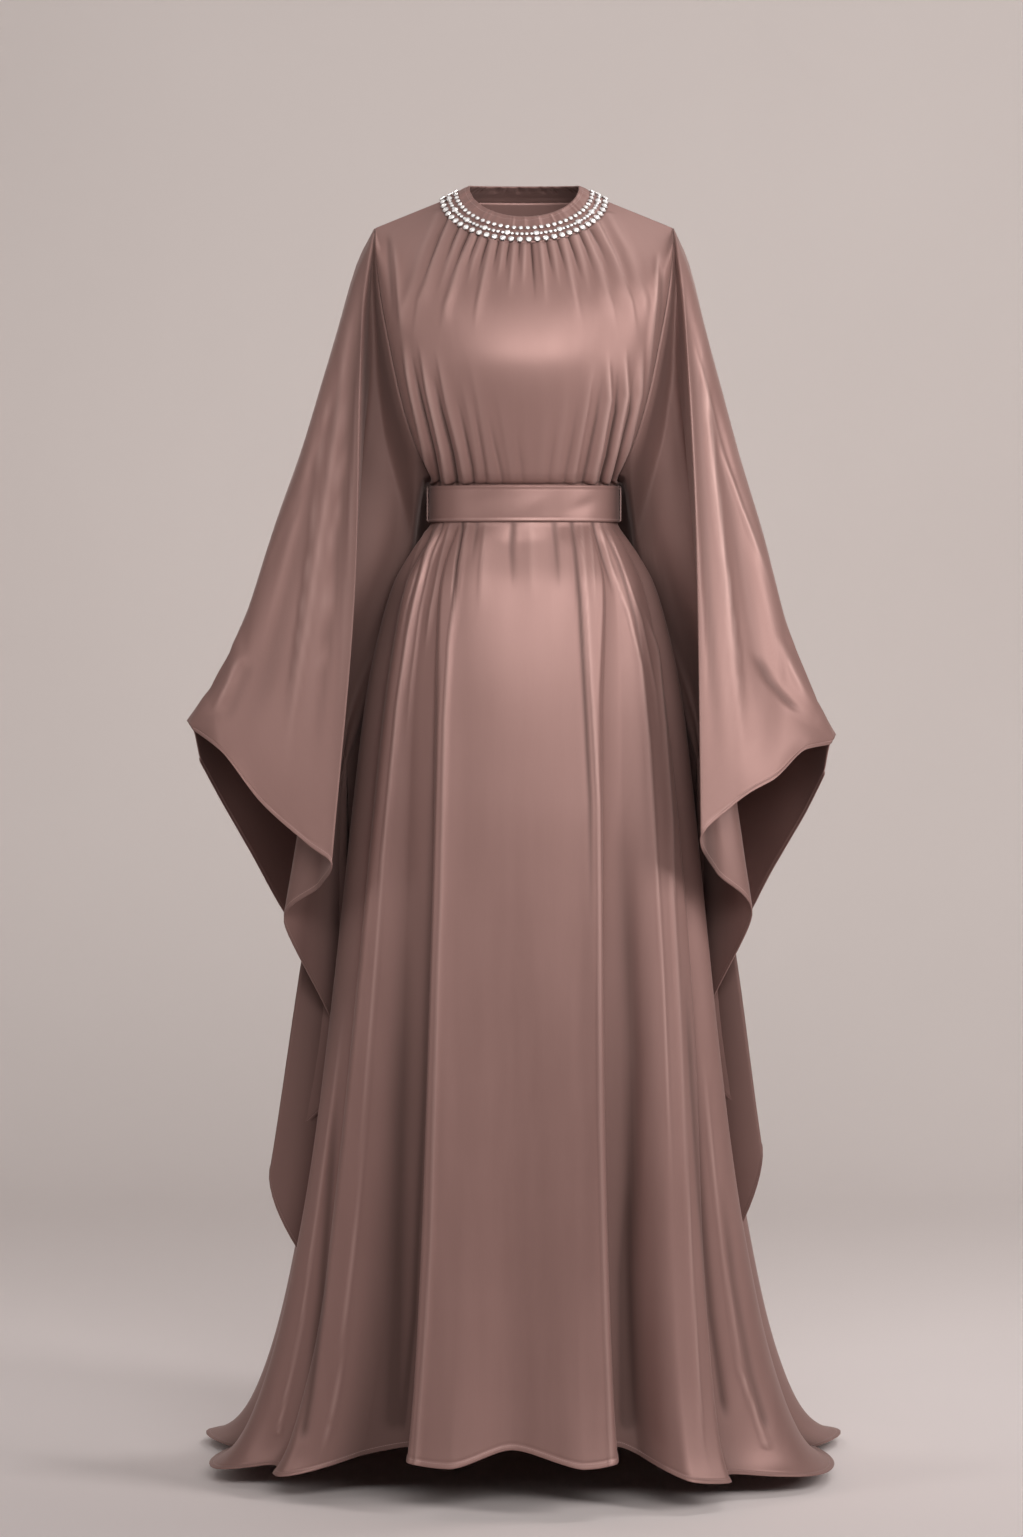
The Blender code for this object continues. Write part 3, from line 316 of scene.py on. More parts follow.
# Creases that rise from the belt, where the bodice is gathered in.
BELT_CREASES = (
    # crease, depth, left, right, top_fade, foot_fade, line
    ("left edge", 34, 30, 50, 600, 20, ((-1403, 13317), (-1276, 12604), (-1127, 11914), (-1046, 11454))),
    ("left edge dark", -32, 18, 22, 700, 20, ((-1288, 13087), (-1173, 12512), (-1035, 11914),
     (-954, 11454))),
    ("left one", 44, 30, 60, 700, 20, ((-1196, 13202), (-1070, 12558), (-931, 11914), (-851, 11454))),
    ("left one dark", -36, 20, 26, 800, 20, ((-1035, 12903), (-943, 12397), (-828, 11914),
     (-753, 11454))),
    ("left two", 26, 30, 70, 700, 20, ((-1001, 13179), (-862, 12443), (-736, 11914), (-650, 11454))),
    ("left two dark", -20, 18, 24, 600, 20, ((-759, 12558), (-667, 12098), (-598, 11753), (-563, 11454))),
    ("left three", 9, 40, 60, 500, 20, ((-713, 12834), (-621, 12374), (-541, 11868), (-495, 11454))),
    ("left three dark", -8, 18, 22, 500, 20, ((-575, 12512), (-506, 12098), (-449, 11753),
     (-425, 11454))),
    ("left four", 11, 40, 90, 700, 20, ((-621, 13064), (-506, 12466), (-414, 11868), (-357, 11454))),
    ("left four dark", -8, 20, 30, 500, 20, ((-414, 12397), (-333, 11983), (-265, 11684), (-230, 11454))),
    ("left middle", 6, 40, 100, 600, 20, ((-322, 12742), (-230, 12213), (-161, 11799), (-115, 11454))),
    ("left middle dark", -4, 24, 30, 400, 20, ((-92, 12167), (-34, 11799), (0, 11454))),
    ("middle soft", 3, 90, 90, 600, 20, ((-46, 12558), (23, 12167), (69, 11799), (92, 11454))),
    ("right middle", 5, 90, 50, 500, 20, ((287, 12558), (241, 12098), (207, 11776), (202, 11454))),
    ("right middle dark", -4, 26, 22, 500, 20, ((368, 12282), (322, 11914), (287, 11638), (276, 11454))),
    ("right soft", 7, 80, 60, 500, 20, ((517, 12788), (460, 12282), (391, 11868), (368, 11454))),
    ("right soft dark", -8, 26, 20, 600, 20, ((609, 12558), (552, 12098), (483, 11707), (449, 11454))),
    ("right four", 20, 70, 30, 700, 20, ((782, 13018), (713, 12443), (621, 11914), (541, 11454))),
    ("right four dark", -19, 24, 19, 700, 20, ((886, 12834), (817, 12282), (725, 11799), (644, 11454))),
    ("right three", 42, 60, 30, 700, 20, ((943, 13133), (966, 12512), (874, 11960), (759, 11454))),
    ("right three dark", -34, 22, 18, 700, 20, ((1070, 12903), (1046, 12374), (954, 11868),
     (845, 11454))),
    ("right two", 40, 50, 30, 700, 20, ((1150, 13156), (1162, 12558), (1046, 11960), (914, 11454))),
    ("right two dark", -28, 20, 18, 600, 20, ((1242, 12857), (1207, 12374), (1081, 11845), (966, 11454))),
    ("right edge", 32, 50, 30, 600, 20, ((1357, 13202), (1311, 12558), (1173, 11937), (1012, 11454))),
)
# Gathers that fall from the belt, and the sharp lines of the deep folds.
SKIRT_CREASES = (
    # crease, depth, left, right, top_fade, foot_fade, line
    ("left fine one", 10, 16, 20, 20, 900, ((-1058, 11143), (-1230, 10764), (-1426, 10097),
     (-1552, 9407))),
    ("left fine two", -10, 16, 16, 20, 800, ((-1001, 11143), (-1162, 10764), (-1346, 10097),
     (-1449, 9522))),
    ("left A dark", -18, 16, 24, 20, 200, ((-897, 11143), (-943, 11040), (-1012, 10844))),
    ("left A ridge", 13, 24, 30, 20, 600, ((-828, 11143), (-954, 10672), (-1070, 10097), (-1150, 9522))),
    ("left fine three", 9, 16, 24, 20, 1200, ((-886, 11143), (-1046, 10718), (-1196, 10074),
     (-1311, 9177), (-1380, 8372))),
    ("L2 line", 17, 18, 36, 20, 600, ((-931, 11143), (-1115, 10776), (-1265, 10189), (-1339, 9844),
     (-1460, 9016), (-1544, 8142), (-1633, 7257), (-1702, 6164), (-1794, 4991), (-1898, 3669),
     (-1978, 2737), (-2162, 1138), (-2243, 690), (-2461, 103))),
    ("left B dark", -26, 18, 20, 20, 600, ((-690, 11143), (-770, 10672), (-839, 9982))),
    ("L1 line", 16, 18, 40, 20, 10, ((-633, 11143), (-747, 10603), (-862, 9752), (-914, 8866),
     (-960, 6762), (-989, 6015), (-1035, 4405), (-1081, 2737), (-1127, 1920), (-1265, 92))),
    ("L1 dark", -11, 50, 24, 2200, 200, ((-897, 10212), (-1012, 8866), (-1070, 6762), (-1150, 4405),
     (-1265, 1920), (-1403, 552))),
    ("left C dark", -11, 24, 30, 20, 400, ((-529, 11143), (-575, 10856), (-609, 10603))),
    ("left C ridge", 10, 30, 50, 20, 700, ((-437, 11143), (-483, 10672), (-517, 9982))),
    ("middle left", -12, 30, 36, 20, 500, ((-120, 11143), (-149, 10833), (-126, 10327))),
    ("middle ridge", 9, 70, 70, 20, 600, ((80, 11143), (92, 10672), (103, 10097))),
    ("middle right", -12, 30, 30, 20, 500, ((345, 11143), (362, 10833), (397, 10281))),
    ("R1 dark", -17, 30, 20, 20, 2400, ((541, 11143), (587, 10844), (644, 10212), (690, 9304),
     (759, 7912), (770, 6187))),
    ("R1 line", 14, 18, 40, 20, 10, ((644, 11143), (678, 10672), (725, 10189), (770, 9304), (805, 8717),
     (851, 7843), (862, 6762), (862, 5290), (874, 4117), (909, 2737), (943, 1656), (989, 563),
     (1001, 92))),
    ("R2 small", 11, 20, 24, 20, 500, ((736, 11143), (782, 10718), (817, 10097))),
    ("R1 valley", -32, 80, 100, 2000, 200, ((1127, 7912), (1253, 4991), (1230, 3519), (1173, 2415),
     (1196, 552))),
    ("R3 valley", -22, 40, 50, 1200, 300, ((1863, 6072), (1943, 4692), (2036, 3312), (2162, 1932),
     (2346, 667))),
    ("R4 valley", -18, 40, 50, 1000, 200, ((2277, 3542), (2427, 2277), (2622, 1242), (2829, 552))),
    ("L3 valley", -24, 50, 50, 1400, 200, ((-2139, 4922), (-2243, 3542), (-2346, 2162), (-2484, 1012),
     (-2576, 437))),
    ("L2 valley", -22, 100, 90, 2400, 200, ((-1334, 6992), (-1391, 5612), (-1437, 3887), (-1472, 2162),
     (-1518, 552))),
    ("R2 line", 14, 24, 26, 20, 2000, ((839, 11143), (989, 10626), (1196, 10074), (1346, 9453),
     (1437, 8579), (1507, 7406), (1598, 5865), (1668, 4255), (1725, 3082))),
    ("R3 dark", -18, 20, 20, 20, 600, ((770, 11143), (897, 10706), (1058, 10212))),
    ("R3 line", 17, 34, 18, 600, 1600, ((1334, 10212), (1530, 9637), (1621, 8717), (1702, 7693),
     (1725, 6762), (1759, 6164), (1817, 5141), (1875, 3669), (1920, 2737), (1989, 1656), (2036, 978),
     (2070, 425), (2185, -23))),
    ("right fine one", 10, 20, 16, 20, 1200, ((909, 11143), (1115, 10649), (1346, 9982), (1507, 9177),
     (1587, 8372))),
    ("right fine two", -10, 18, 18, 20, 900, ((874, 11143), (1081, 10649), (1288, 9982), (1426, 9177))),
    ("left foot line", 18, 24, 40, 1200, 10, ((-2059, 5612), (-2208, 4439), (-2369, 3312), (-2576, 1817),
     (-2852, 552))),
    ("right foot line", 18, 40, 24, 1200, 10, ((2059, 5037), (2162, 3876), (2311, 2622), (2507, 1300),
     (2829, 379))),
)
# Long folds that fall from the shoulder to the sleeve's free edge, and creases at the wrist.
SLEEVE_LEFT_CREASES = (
    # crease, depth, left, right, top_fade, foot_fade, line
    ("ridge one", 26, 80, 60, 1200, 2400, ((-1909, 14007), (-2024, 13144), (-2150, 12144), (-2288, 11132),
     (-2461, 9982), (-2668, 8832), (-2760, 7912))),
    ("trough one", -17, 70, 70, 1100, 2200, ((-1863, 13777), (-1955, 12742), (-2047, 11707),
     (-2173, 10442), (-2323, 9177), (-2461, 7912))),
    ("line one", 13, 26, 40, 1000, 2200, ((-1875, 13317), (-1932, 12282), (-1989, 11132), (-2059, 9752),
     (-2150, 8372))),
    ("line two", 11, 22, 34, 900, 2000, ((-2001, 12972), (-2104, 11937), (-2208, 10902), (-2323, 9752),
     (-2450, 8602))),
    ("line three", 17, 30, 42, 700, 1200, ((-2185, 12834), (-2300, 12190), (-2380, 11511), (-2427, 10937),
     (-2519, 10270), (-2633, 9407), (-2760, 8878))),
    ("line four", 13, 24, 34, 600, 1100, ((-2036, 12167), (-2104, 11511), (-2173, 10937), (-2208, 10270),
     (-2277, 9637), (-2392, 8947))),
    ("ridge two", 19, 120, 90, 1200, 2600, ((-1978, 13835), (-2231, 12857), (-2472, 11707),
     (-2726, 10557), (-2990, 9522), (-3266, 8602))),
    ("trough two", -13, 90, 90, 1100, 2200, ((-2070, 13317), (-2323, 12167), (-2576, 10902),
     (-2852, 9752), (-3128, 8602))),
    ("wide fold", 22, 180, 140, 1600, 2000, ((-2185, 11592), (-2300, 10212), (-2415, 9062),
     (-2507, 7682))),
    ("low trough", -12, 140, 140, 1200, 1200, ((-2714, 10442), (-3013, 9292), (-3312, 8372))),
    ("wrist one", -18, 50, 70, 160, 260, ((-3358, 9752), (-3473, 9430), (-3680, 9016))),
    ("wrist two", 19, 60, 70, 160, 300, ((-3266, 9614), (-3392, 9269), (-3588, 8878))),
    ("wrist three", -8, 60, 70, 160, 300, ((-3151, 9522), (-3289, 9154), (-3450, 8763))),
)
# The same on the other sleeve.
SLEEVE_RIGHT_CREASES = (
    # crease, depth, left, right, top_fade, foot_fade, line
    ("ridge one", 26, 60, 80, 1200, 2400, ((1909, 14007), (2001, 13317), (2093, 12351), (2208, 11316),
     (2334, 9879), (2461, 8935), (2553, 8027))),
    ("trough one", -17, 70, 70, 1100, 2200, ((1909, 13777), (1966, 12742), (2036, 11592), (2116, 10212),
     (2196, 9062), (2277, 8027))),
    ("line one", 12, 40, 24, 1000, 2200, ((1875, 13317), (1932, 12167), (2001, 10902), (2082, 9522),
     (2139, 8372))),
    ("line three", 17, 42, 30, 700, 1200, ((2024, 12972), (2093, 12328), (2208, 11224), (2346, 10270),
     (2450, 9556), (2530, 8878))),
    ("line four", 15, 34, 24, 600, 1100, ((1909, 13317), (2082, 12570), (2300, 11822), (2507, 11224),
     (2748, 10603), (2898, 10097))),
    ("ridge two", 20, 90, 120, 1200, 2200, ((2024, 13662), (2334, 12270), (2541, 11316), (2783, 10292),
     (2944, 9522), (3036, 8717))),
    ("trough two", -13, 90, 80, 1100, 2000, ((2070, 12972), (2277, 11707), (2484, 10672), (2668, 9637),
     (2783, 8602))),
    ("line two", 11, 34, 22, 900, 2000, ((2047, 12972), (2173, 11822), (2300, 10672), (2415, 9522),
     (2507, 8487))),
    ("wide fold", 20, 140, 160, 1600, 2000, ((2139, 11132), (2254, 9752), (2346, 8602), (2404, 7797))),
    ("wrist dark", -20, 50, 60, 240, 160, ((2645, 9637), (2806, 9292), (3001, 9073), (3185, 8901))),
    ("wrist one", 15, 60, 60, 200, 300, ((2921, 9798), (3082, 9430), (3289, 9016))),
    ("wrist two", -10, 50, 50, 160, 260, ((3036, 9752), (3208, 9407), (3404, 9016))),
)
# Soft upright pleats of the band, none alike: angle from the front, how wide each is, and its depth.
BAND_PLEATS = tuple(
    (
        step * 8.6 + 2.9 * math.sin(step * 2.3),
        2.1 + 0.9 * math.sin(step * 1.7),
        0.0011 + 0.0005 * math.sin(step * 3.1),
    )
    for step in range(-21, 21)
)
# Ring positions between which the pleats rise and die out, how far they are sunk, and the roll of the top
# edge.
PLEATS_RISE, PLEATS_END = (0.0, 0.35), (1.3, 2.0)
PLEATS_SUNK = 0.0006
BAND_ROLL, BAND_ROLL_END = 0.0006, (0.05, 0.30)
# The stones of each row: ring position, how far apart they stand, their diameter, and for the middle row
# the larger stone that comes after every few small ones.
STONE_ROWS = (
    # name          replaces              ring  pitch   diameter large_every large
    ("stones_upper", "crystal_row_upper", 1.95, 0.0078, 0.0054, 0, 0.0),
    ("stones_middle", "crystal_row_middle", 2.90, 0.0055, 0.0046, 5, 0.0072),
    ("stones_lower", "crystal_row_lower", 3.72, 0.0097, 0.0072, 0, 0.0),
)

# The belt's turned edges: their height, how far they stand out, the share of the height where that is full,
# and the width and depth of the groove beside them.
BELT_EDGE = 0.0030
BELT_EDGE_RISE = 0.0005
BELT_EDGE_FULL = 0.7
BELT_GROOVE = (0.0007, 0.0004)
# The dents lean by this many degrees round for each metre of height.
DENT_LEAN = 600.0
BELT_DENTS = (
    # angle from the front, height, across, up, depth
    (38.0, 1.128, 9.0, 0.010, -0.0010),
    (-24.0, 1.136, 12.0, 0.012, -0.0006),
    (4.0, 1.130, 10.0, 0.014, 0.0005),
    (150.0, 1.130, 11.0, 0.012, -0.0008),
    (-140.0, 1.134, 12.0, 0.012, -0.0007),
)
# The rolled hem: its height and how far it stands out, the shares of its height between which it ends, and
# the groove above it: its place as such a share, its width and its depth.
HEM_ROLL = 0.0055
HEM_RISE = 0.0007
HEM_ROLL_END = (0.75, 1.15)
HEM_GROOVE = (1.1, 0.0012, 0.0005)
FAR_FROM_HEM = 0.5

# Columns and rows of the sheets. Crowding sets how much closer the rows stand towards the hem.
SKIRT_FRONT_COLUMNS, SKIRT_BACK_COLUMNS = 256, 200
WAIST_ROWS, HANG_ROWS = 30, 150
BACK_WAIST_ROWS, BACK_HANG_ROWS = 20, 110
HEM_CROWDING = 1.35
BODICE_COLUMNS = 300
BODICE_STEPS = (30, 22, 16, 16, 14, 14, 10, 6, 4)
BODICE_BACK_COLUMNS = 160
BODICE_BACK_STEPS = (20, 16, 12, 12, 10, 10, 8, 4, 3)
SLEEVE_COLUMNS_PER_LINE = 13
SLEEVE_ROWS = 120
SLEEVE_CROWDING = 1.15
SLEEVE_HEM_CROWDING = 1.2
BAND_COLUMNS, BAND_ROWS = 420, 22
BELT_COLUMNS, BELT_ROWS = 220, 22

# Colours, and the fine structure of the cloth: the twill lines stand 0.628 / TWILL_SCALE apart.
SATIN_LIGHT = (0.335, 0.200, 0.180)
SATIN_DEEP = (0.240, 0.136, 0.120)
THREAD = (0.45, 0.30, 0.28)
THREAD_DEEP = (0.20, 0.115, 0.10)
# Painted shade deep in folds, creases and beside other parts, and a painted highlight on sharp ridges.
SATIN_PAINTED_SHADE = (0.060, 0.031, 0.026)
SATIN_PAINTED_HIGHLIGHT = (0.62, 0.42, 0.385)
SATIN_METAL = 0.32
STONE_RISE = 0.72
STONE_SEAT = 0.0017
PAPER_DEEP, PAPER_LIGHT = (0.585, 0.535, 0.515), (0.635, 0.585, 0.565)
# The paper's colour where a painted pool of light makes the floor in front lighter.
PAPER_FLOOR_PAINTED_LIGHT = (0.86, 0.795, 0.785)
# How far back on the floor the painted light starts to fade, and where the paper is as dark as the wall.
PAPER_TURN = (0.6, 3.2)
TWILL_SCALE = 340.0
STITCH_LENGTH = 0.0026
# Roughness of the cloth, and the distances from the edge between which its stitches lie.
SATIN_FINISH = (0.46, 0.0050, 0.0058)
BELT_FINISH = (0.42, 0.0026, 0.0033)
THREAD_ROUGHNESS, THREAD_GRAIN = 0.55, 900.0

# Passes that even the bodice's rows, the share of its half width beyond which they are held by the seams,
# and the shares of its height between which that ends.
BODICE_PASSES = 260
BODICE_HELD = 0.55
BODICE_LOOSE = (0.50, 0.72)
# Edge places along which the shoulder's trim ends, and how far under and over the belt's top the creases
# start.
SHOULDER_TRIM_END = (0.0, 0.5)
CREASES_START = (0.002, 0.008)
# The bust's fullness: its height, how far it reaches up and down and across, and its depth.
BUST = (1.283, 0.042, 0.062, 0.120, 0.0049)
# The bodice's fullness over the belt at both sides: its height, its reach up and down, and how far it
# stands out.
SIDE_FULLNESS = (1.1555, 0.0045, 0.0026)
SIDE_FULLNESS_FROM = 0.8
# The bodice's shade beside the armholes: its depth, the share of the half width where it starts, and the
# heights between which it ends.
ARMHOLE_SHADE = (0.5, 0.86, 1.20, 1.38)
# The belt's shade at both sides, and how many degrees round it reaches.
BELT_END_SHADE, BELT_END_REACH = 0.65, 24.0
# The depth at which a crease's painted shade and painted highlight are full, and how narrow a ridge's
# painted highlight is beside its form.
CREASE_TELLS = 0.0024
TELLING_WIDTH = 0.0036
RIDGE_NARROW = 0.55
# The belt loops' cord: its rows and columns, its twists, and how far its middle stands off the cloth's
# face.
LOOP_ROWS, LOOP_COLUMNS = 110, 16
LOOP_TWISTS = 5
LOOP_STAND = 0.0034
# How far it reaches over the belt's top, how much longer it is than the belt is high, how far it turns in
# and where, the shares at which its ends close, and the radius of its core and of its strands over that.
LOOP_OVER, LOOP_LONGER = 0.0020, 0.0030
LOOP_TURN, LOOP_TURNS = 0.0030, (0.43, 0.5)
LOOP_CLOSED = (0.02, 0.98)
LOOP_CORE, LOOP_STRAND = 0.00070, 0.00045
# Columns stand closer near the creases.
CROWDED = 3.0
CROWDED_ANGLE = 1.4
# How far a fold stands out where it is painted in shade, from the deepest painted shade to none.
RECESS_OUT = (-0.044, -0.001)
# Heights between which that shade ends below the belt, and the fold places along which creases fade to the
# seam.
RECESS_END = (0.95, 1.08)
SEAM_FLAT = (0.2, 1.0)
# The skirt's shaded sides below the sleeves: which side, the share of the half width where the shade starts
# and where it is full, its foot and top height, and how deep it is. It rises and ends over these heights.
SIDE_SHADES = ((-1.0, 0.86, 0.98, 0.36, 1.12, 0.90), (1.0, 0.90, 1.00, 0.56, 1.12, 0.75))
SIDE_SHADE_RISE, SIDE_SHADE_END = 0.22, 0.10
# How much closer the sleeve's cloth hangs to the belt, hip and back than its plain solid does: how much
# less far across and how much further back it lies below the arm, and less far across at the knee and at
# its hem. Each change reaches this many lines to both sides.
HUG_REACH = 0.6
SLEEVE_HUG = (
    # line          near_x  near_y  mid_x   hem_x
    ("inner three", 0.009, 0.004, 0.006, 0.012),
    ("outer four", 0.020, 0.032, 0.010, 0.000),
    ("lowest", 0.024, 0.028, 0.016, 0.022),
    ("outer back", 0.012, 0.010, 0.012, 0.010),
    ("inner back", 0.010, 0.000, 0.022, 0.030),
)
# Line places between which the front folds end, the back folds start, and the inner layers start and end.
FRONT_FOLDS_END, BACK_FOLDS_START = (3.95, 4.5), (12.2, 12.9)
INNER_START, INNER_END = (4.1, 4.6), (11.6, 12.2)
# Soft folds of the sleeve's inner layers: line place, width and depth. They rise and end at shares of the
# hang.
INNER_RISE, INNER_FADE = (0.03, 0.3), (0.75, 0.98)
SLEEVE_INNER_FOLDS = (
    (5.5, 0.25, -0.006),
    (6.3, 0.30, 0.005),
    (7.0, 0.25, -0.004),
    (7.6, 0.30, 0.004),
    (10.6, 0.30, 0.004),
    (11.4, 0.30, -0.005),
)
# Down to this share of the hang the folds fade in, so that front and back meet over the arm without a step.
SLEEVE_TOP_HELD = 0.03
# How deep in shade the sleeve's layers lie, by line place, and how much less deep they lie towards the hem.
SLEEVE_LEFT_RECESS = (
    (0.0, 0.0), (3.5, 0.0), (3.9, 0.35), (4.3, 0.60), (4.9, 0.88), (5.6, 0.72), (6.4, 0.60),
    (7.2, 0.90), (8.4, 0.90), (9.4, 0.80), (11.0, 0.6), (12.2, 0.2), (13.0, 0.0), (17.0, 0.0),
)
SLEEVE_RIGHT_RECESS = (
    (0.0, 0.0), (3.7, 0.0), (4.0, 0.20), (4.3, 0.26), (4.9, 0.26), (5.6, 0.28), (6.4, 0.30),
    (7.2, 0.65), (8.4, 0.85), (9.4, 0.75), (11.0, 0.6), (12.2, 0.2), (13.0, 0.0), (17.0, 0.0),
)
RECESS_LESS, RECESS_LESS_AT = 0.45, (0.45, 0.95)
# The sleeves' shade beside the belt: how far across it is full and where it ends, its height, its reach up
# and down, and its depth.
BELT_SHADE = (0.120, 0.182, 1.115, 0.100, 1.00)
# The same beside the hips: its foot and top height, how far from the skirt it ends, and its depth.
HIP_SHADE = (0.60, 1.16, 0.036, 1.00)
HIP_SHADE_RISE, HIP_SHADE_END = 0.15, 0.05

# The backdrop: the shares of its walk where the floor ends and the wall starts and how long its bend and
# its wall take, where the floor starts, how long it is, the bend's radius, the wall's height and the half
# width.
SWEEP_FLOOR, SWEEP_WALL = 0.45, 0.70
SWEEP_BEND_SHARE, SWEEP_WALL_SHARE = 0.25, 0.30
SWEEP_FRONT, SWEEP_LENGTH = -3.0, 5.2
SWEEP_RADIUS, SWEEP_RISE, SWEEP_HALF_WIDTH = 1.0, 2.6, 4.5
SWEEP_ROWS = 48
FLOOR_CLEAR = 0.0002
PAPER_ROUGHNESS, PAPER_GRAIN = 0.9, 1.2
LIGHTS = (
    # name, place, aim, width, height, power, colour, spread in degrees
    ("key", (0.50, -3.3, 1.00), (0.0, 0.0, 0.05), 4.2, 1.0, 27.0, (1.0, 0.960, 0.942), 68.0),
    ("right strip", (2.5, -1.5, 0.35), (0.0, 0.0, -0.3), 0.6, 1.6, 42.0, (1.0, 0.95, 0.93), 180.0),
    ("left strip", (-2.6, -1.6, 0.2), (0.0, 0.0, -0.4), 0.6, 1.8, 14.0, (1.0, 0.93, 0.90), 180.0),
    ("backdrop left", (-1.6, 0.6, 1.9), (-0.6, 2.9, 0.1), 1.6, 0.8, 13.0, (1.0, 0.96, 0.94), 180.0),
    ("backdrop right", (1.6, 0.6, 1.9), (0.8, 2.9, -0.2), 1.6, 0.8, 34.0, (1.0, 0.96, 0.94), 180.0),
)
WORLD_COLOUR = (0.90, 0.84, 0.82, 1.0)
WORLD_STRENGTH = 0.10


def smooth_through(knots, values, at):
    """A smooth curve through the values, level at each crest and dip, read at the places given."""
    knots = np.asarray(knots, float)
    values = np.asarray(values, float)
    at = np.asarray(at, float)
    steps = np.diff(knots).reshape((-1,) + (1,) * (values.ndim - 1))
    rises = np.diff(values, axis=0) / steps
    slopes = np.zeros_like(values)
    slopes[0] = rises[0]
    slopes[-1] = rises[-1]
    before, after = rises[:-1], rises[1:]
    same_way = before * after > 0
    safe_before = np.where(same_way, before, 1.0)
    safe_after = np.where(same_way, after, 1.0)
    first = 2 * steps[1:] + steps[:-1]
    second = steps[1:] + 2 * steps[:-1]
    slopes[1:-1] = np.where(
        same_way, (first + second) / (first / safe_before + second / safe_after), 0.0
    )
    place = np.clip(np.searchsorted(knots, at, side="right") - 1, 0, len(knots) - 2)
    shape = at.shape + (1,) * (values.ndim - 1)
    step = (knots[place + 1] - knots[place]).reshape(shape)
    t = np.clip((at - knots[place]).reshape(shape) / step, 0.0, 1.0)
    return (
        (1 + 2 * t) * (1 - t) ** 2 * values[place]
        + t * (1 - t) ** 2 * step * slopes[place]
        + t * t * (3 - 2 * t) * values[place + 1]
        - t * t * (1 - t) * step * slopes[place + 1]
    )


def column(table, index):
    return np.array([row[index] for row in table], float)


def fade(value, low, high):
    """0 below low and 1 above high, eased between."""
    t = np.clip((value - low) / (high - low), 0.0, 1.0)
    return t * t * (3 - 2 * t)


def normals_of(points):
    """The unit normal of the sheet at each point, facing away from the body's axis."""
    if np.allclose(points[:, 0], points[:, -1]):
        wrapped = np.concatenate((points[:, -2:-1], points, points[:, 1:2]), axis=1)
        across = np.gradient(wrapped, axis=1)[:, 1:-1]
    else:
        across = np.gradient(points, axis=1)
    down = np.gradient(points, axis=0)
    normals = np.cross(across, down)
    normals /= np.maximum(np.linalg.norm(normals, axis=2, keepdims=True), 1e-9)
    away = points * np.array([1.0, 1.0, 0.0])
    return -normals if (normals * away).sum() < 0 else normals


def neck_point(ring, angle):
    """Points on the neck at a ring position (0 is the top edge) and an angle from the front, in radians."""
    rings = np.arange(len(NECK_RINGS))
    half, front_y, back_y, front_z, side_z, back_z = (
        smooth_through(rings, column(NECK_RINGS, i), ring) for i in range(1, 7)
    )
    forward = np.cos(angle)
    reach_y = np.where(forward > 0, front_y, -back_y)
    reach_z = np.where(forward > 0, front_z - side_z, side_z - back_z)
    return np.stack((half * np.sin(angle), reach_y * forward, side_z + reach_z * forward), axis=-1)


def armhole_point(place, back=False):
    """A point of the right armhole seam, place running from 0 at the shoulder tip to 7 at the belt."""
    steps = np.arange(len(ARMHOLE))
    x, y, z = (smooth_through(steps, column(ARMHOLE, i), place) for i in (1, 2, 3))
    return np.stack((x, -BACK_ARMHOLE_SHARE * y if back else y, z), axis=-1)


def bodice_edge_point(place, back):
    """A point of the bodice's right edge at one of the tables' edge places."""
    tip = armhole_point(np.array(0.0))
    if place < 0:
        neck_side = neck_point(np.array(4.0), np.array(math.pi / 2))
        return tip + (neck_side - tip) * -place
    if place <= 7:
        return armhole_point(np.array(place), back)
    (_, top_x, top_z), (_, waist_x, waist_z) = SIDE_SEAM
    seam_y = SIDE_SEAM_TRIM if back else -SIDE_SEAM_TRIM
    seam_top = np.array([top_x, seam_y, top_z])
    if place <= 8:
        end = armhole_point(np.array(7.0), back)
        return end + (seam_top - end) * (place - 7)
    return seam_top + (np.array([waist_x, seam_y, waist_z]) - seam_top) * (place - 8)


def sleeve_top(place):
    """A point of the edge that the sleeve hangs from, at the table's top place, on the right."""
    if place <= 1.0:
        shares = column(OVERARM, 0)
        return np.array([smooth_through(shares, column(OVERARM, i), np.array(place)) for i in (1, 2, 3)])
    last = len(ARMHOLE) - 1
    front = armhole_point(np.array(min(place - 1.0, 1.0) * last))
    back = armhole_point(np.array(min(3.0 - place, 1.0) * last), back=True)
    low, high = UNDERARM
    across = np.clip((place - low) / (high - low), 0.0, 1.0)
    return front + (back - front) * across + np.array([ARMHOLE_STEP, 0.0, 0.0])


def trimmed(points, trim):
    """The sheet with its side edges cut back along the cloth, to leave a seam gap."""
    for edge, inner in ((0, 1), (-1, -2)):
        step = points[:, inner] - points[:, edge]
        length = np.linalg.norm(step, axis=1, keepdims=True)
        points[:, edge] += step * trim / length
    return points


def around(segments):
    """Angles once round the body from the centre back, the last one equal to the first."""
    turns = np.arange(segments + 1) % segments
    return math.pi + 2 * math.pi * turns / segments


def seen(points):
    """Where each point stands in the plane of the shoulders as the camera sees it: across, and its
    height."""
    nearer = CAMERA_DISTANCE / (CAMERA_DISTANCE + points[..., 1])
    across = CAMERA_X + (points[..., 0] - CAMERA_X) * nearer
    return across, CAMERA_HEIGHT + (points[..., 2] - CAMERA_HEIGHT) * nearer


def in_metres(creases):
    """A crease table with its tenths of a millimetre turned into metres."""
    return tuple(
        (
            name,
            *(size / TENTHS_PER_METRE for size in sizes),
            tuple((x / TENTHS_PER_METRE, z / TENTHS_PER_METRE) for x, z in line),
        )
        for name, *sizes, line in creases
    )


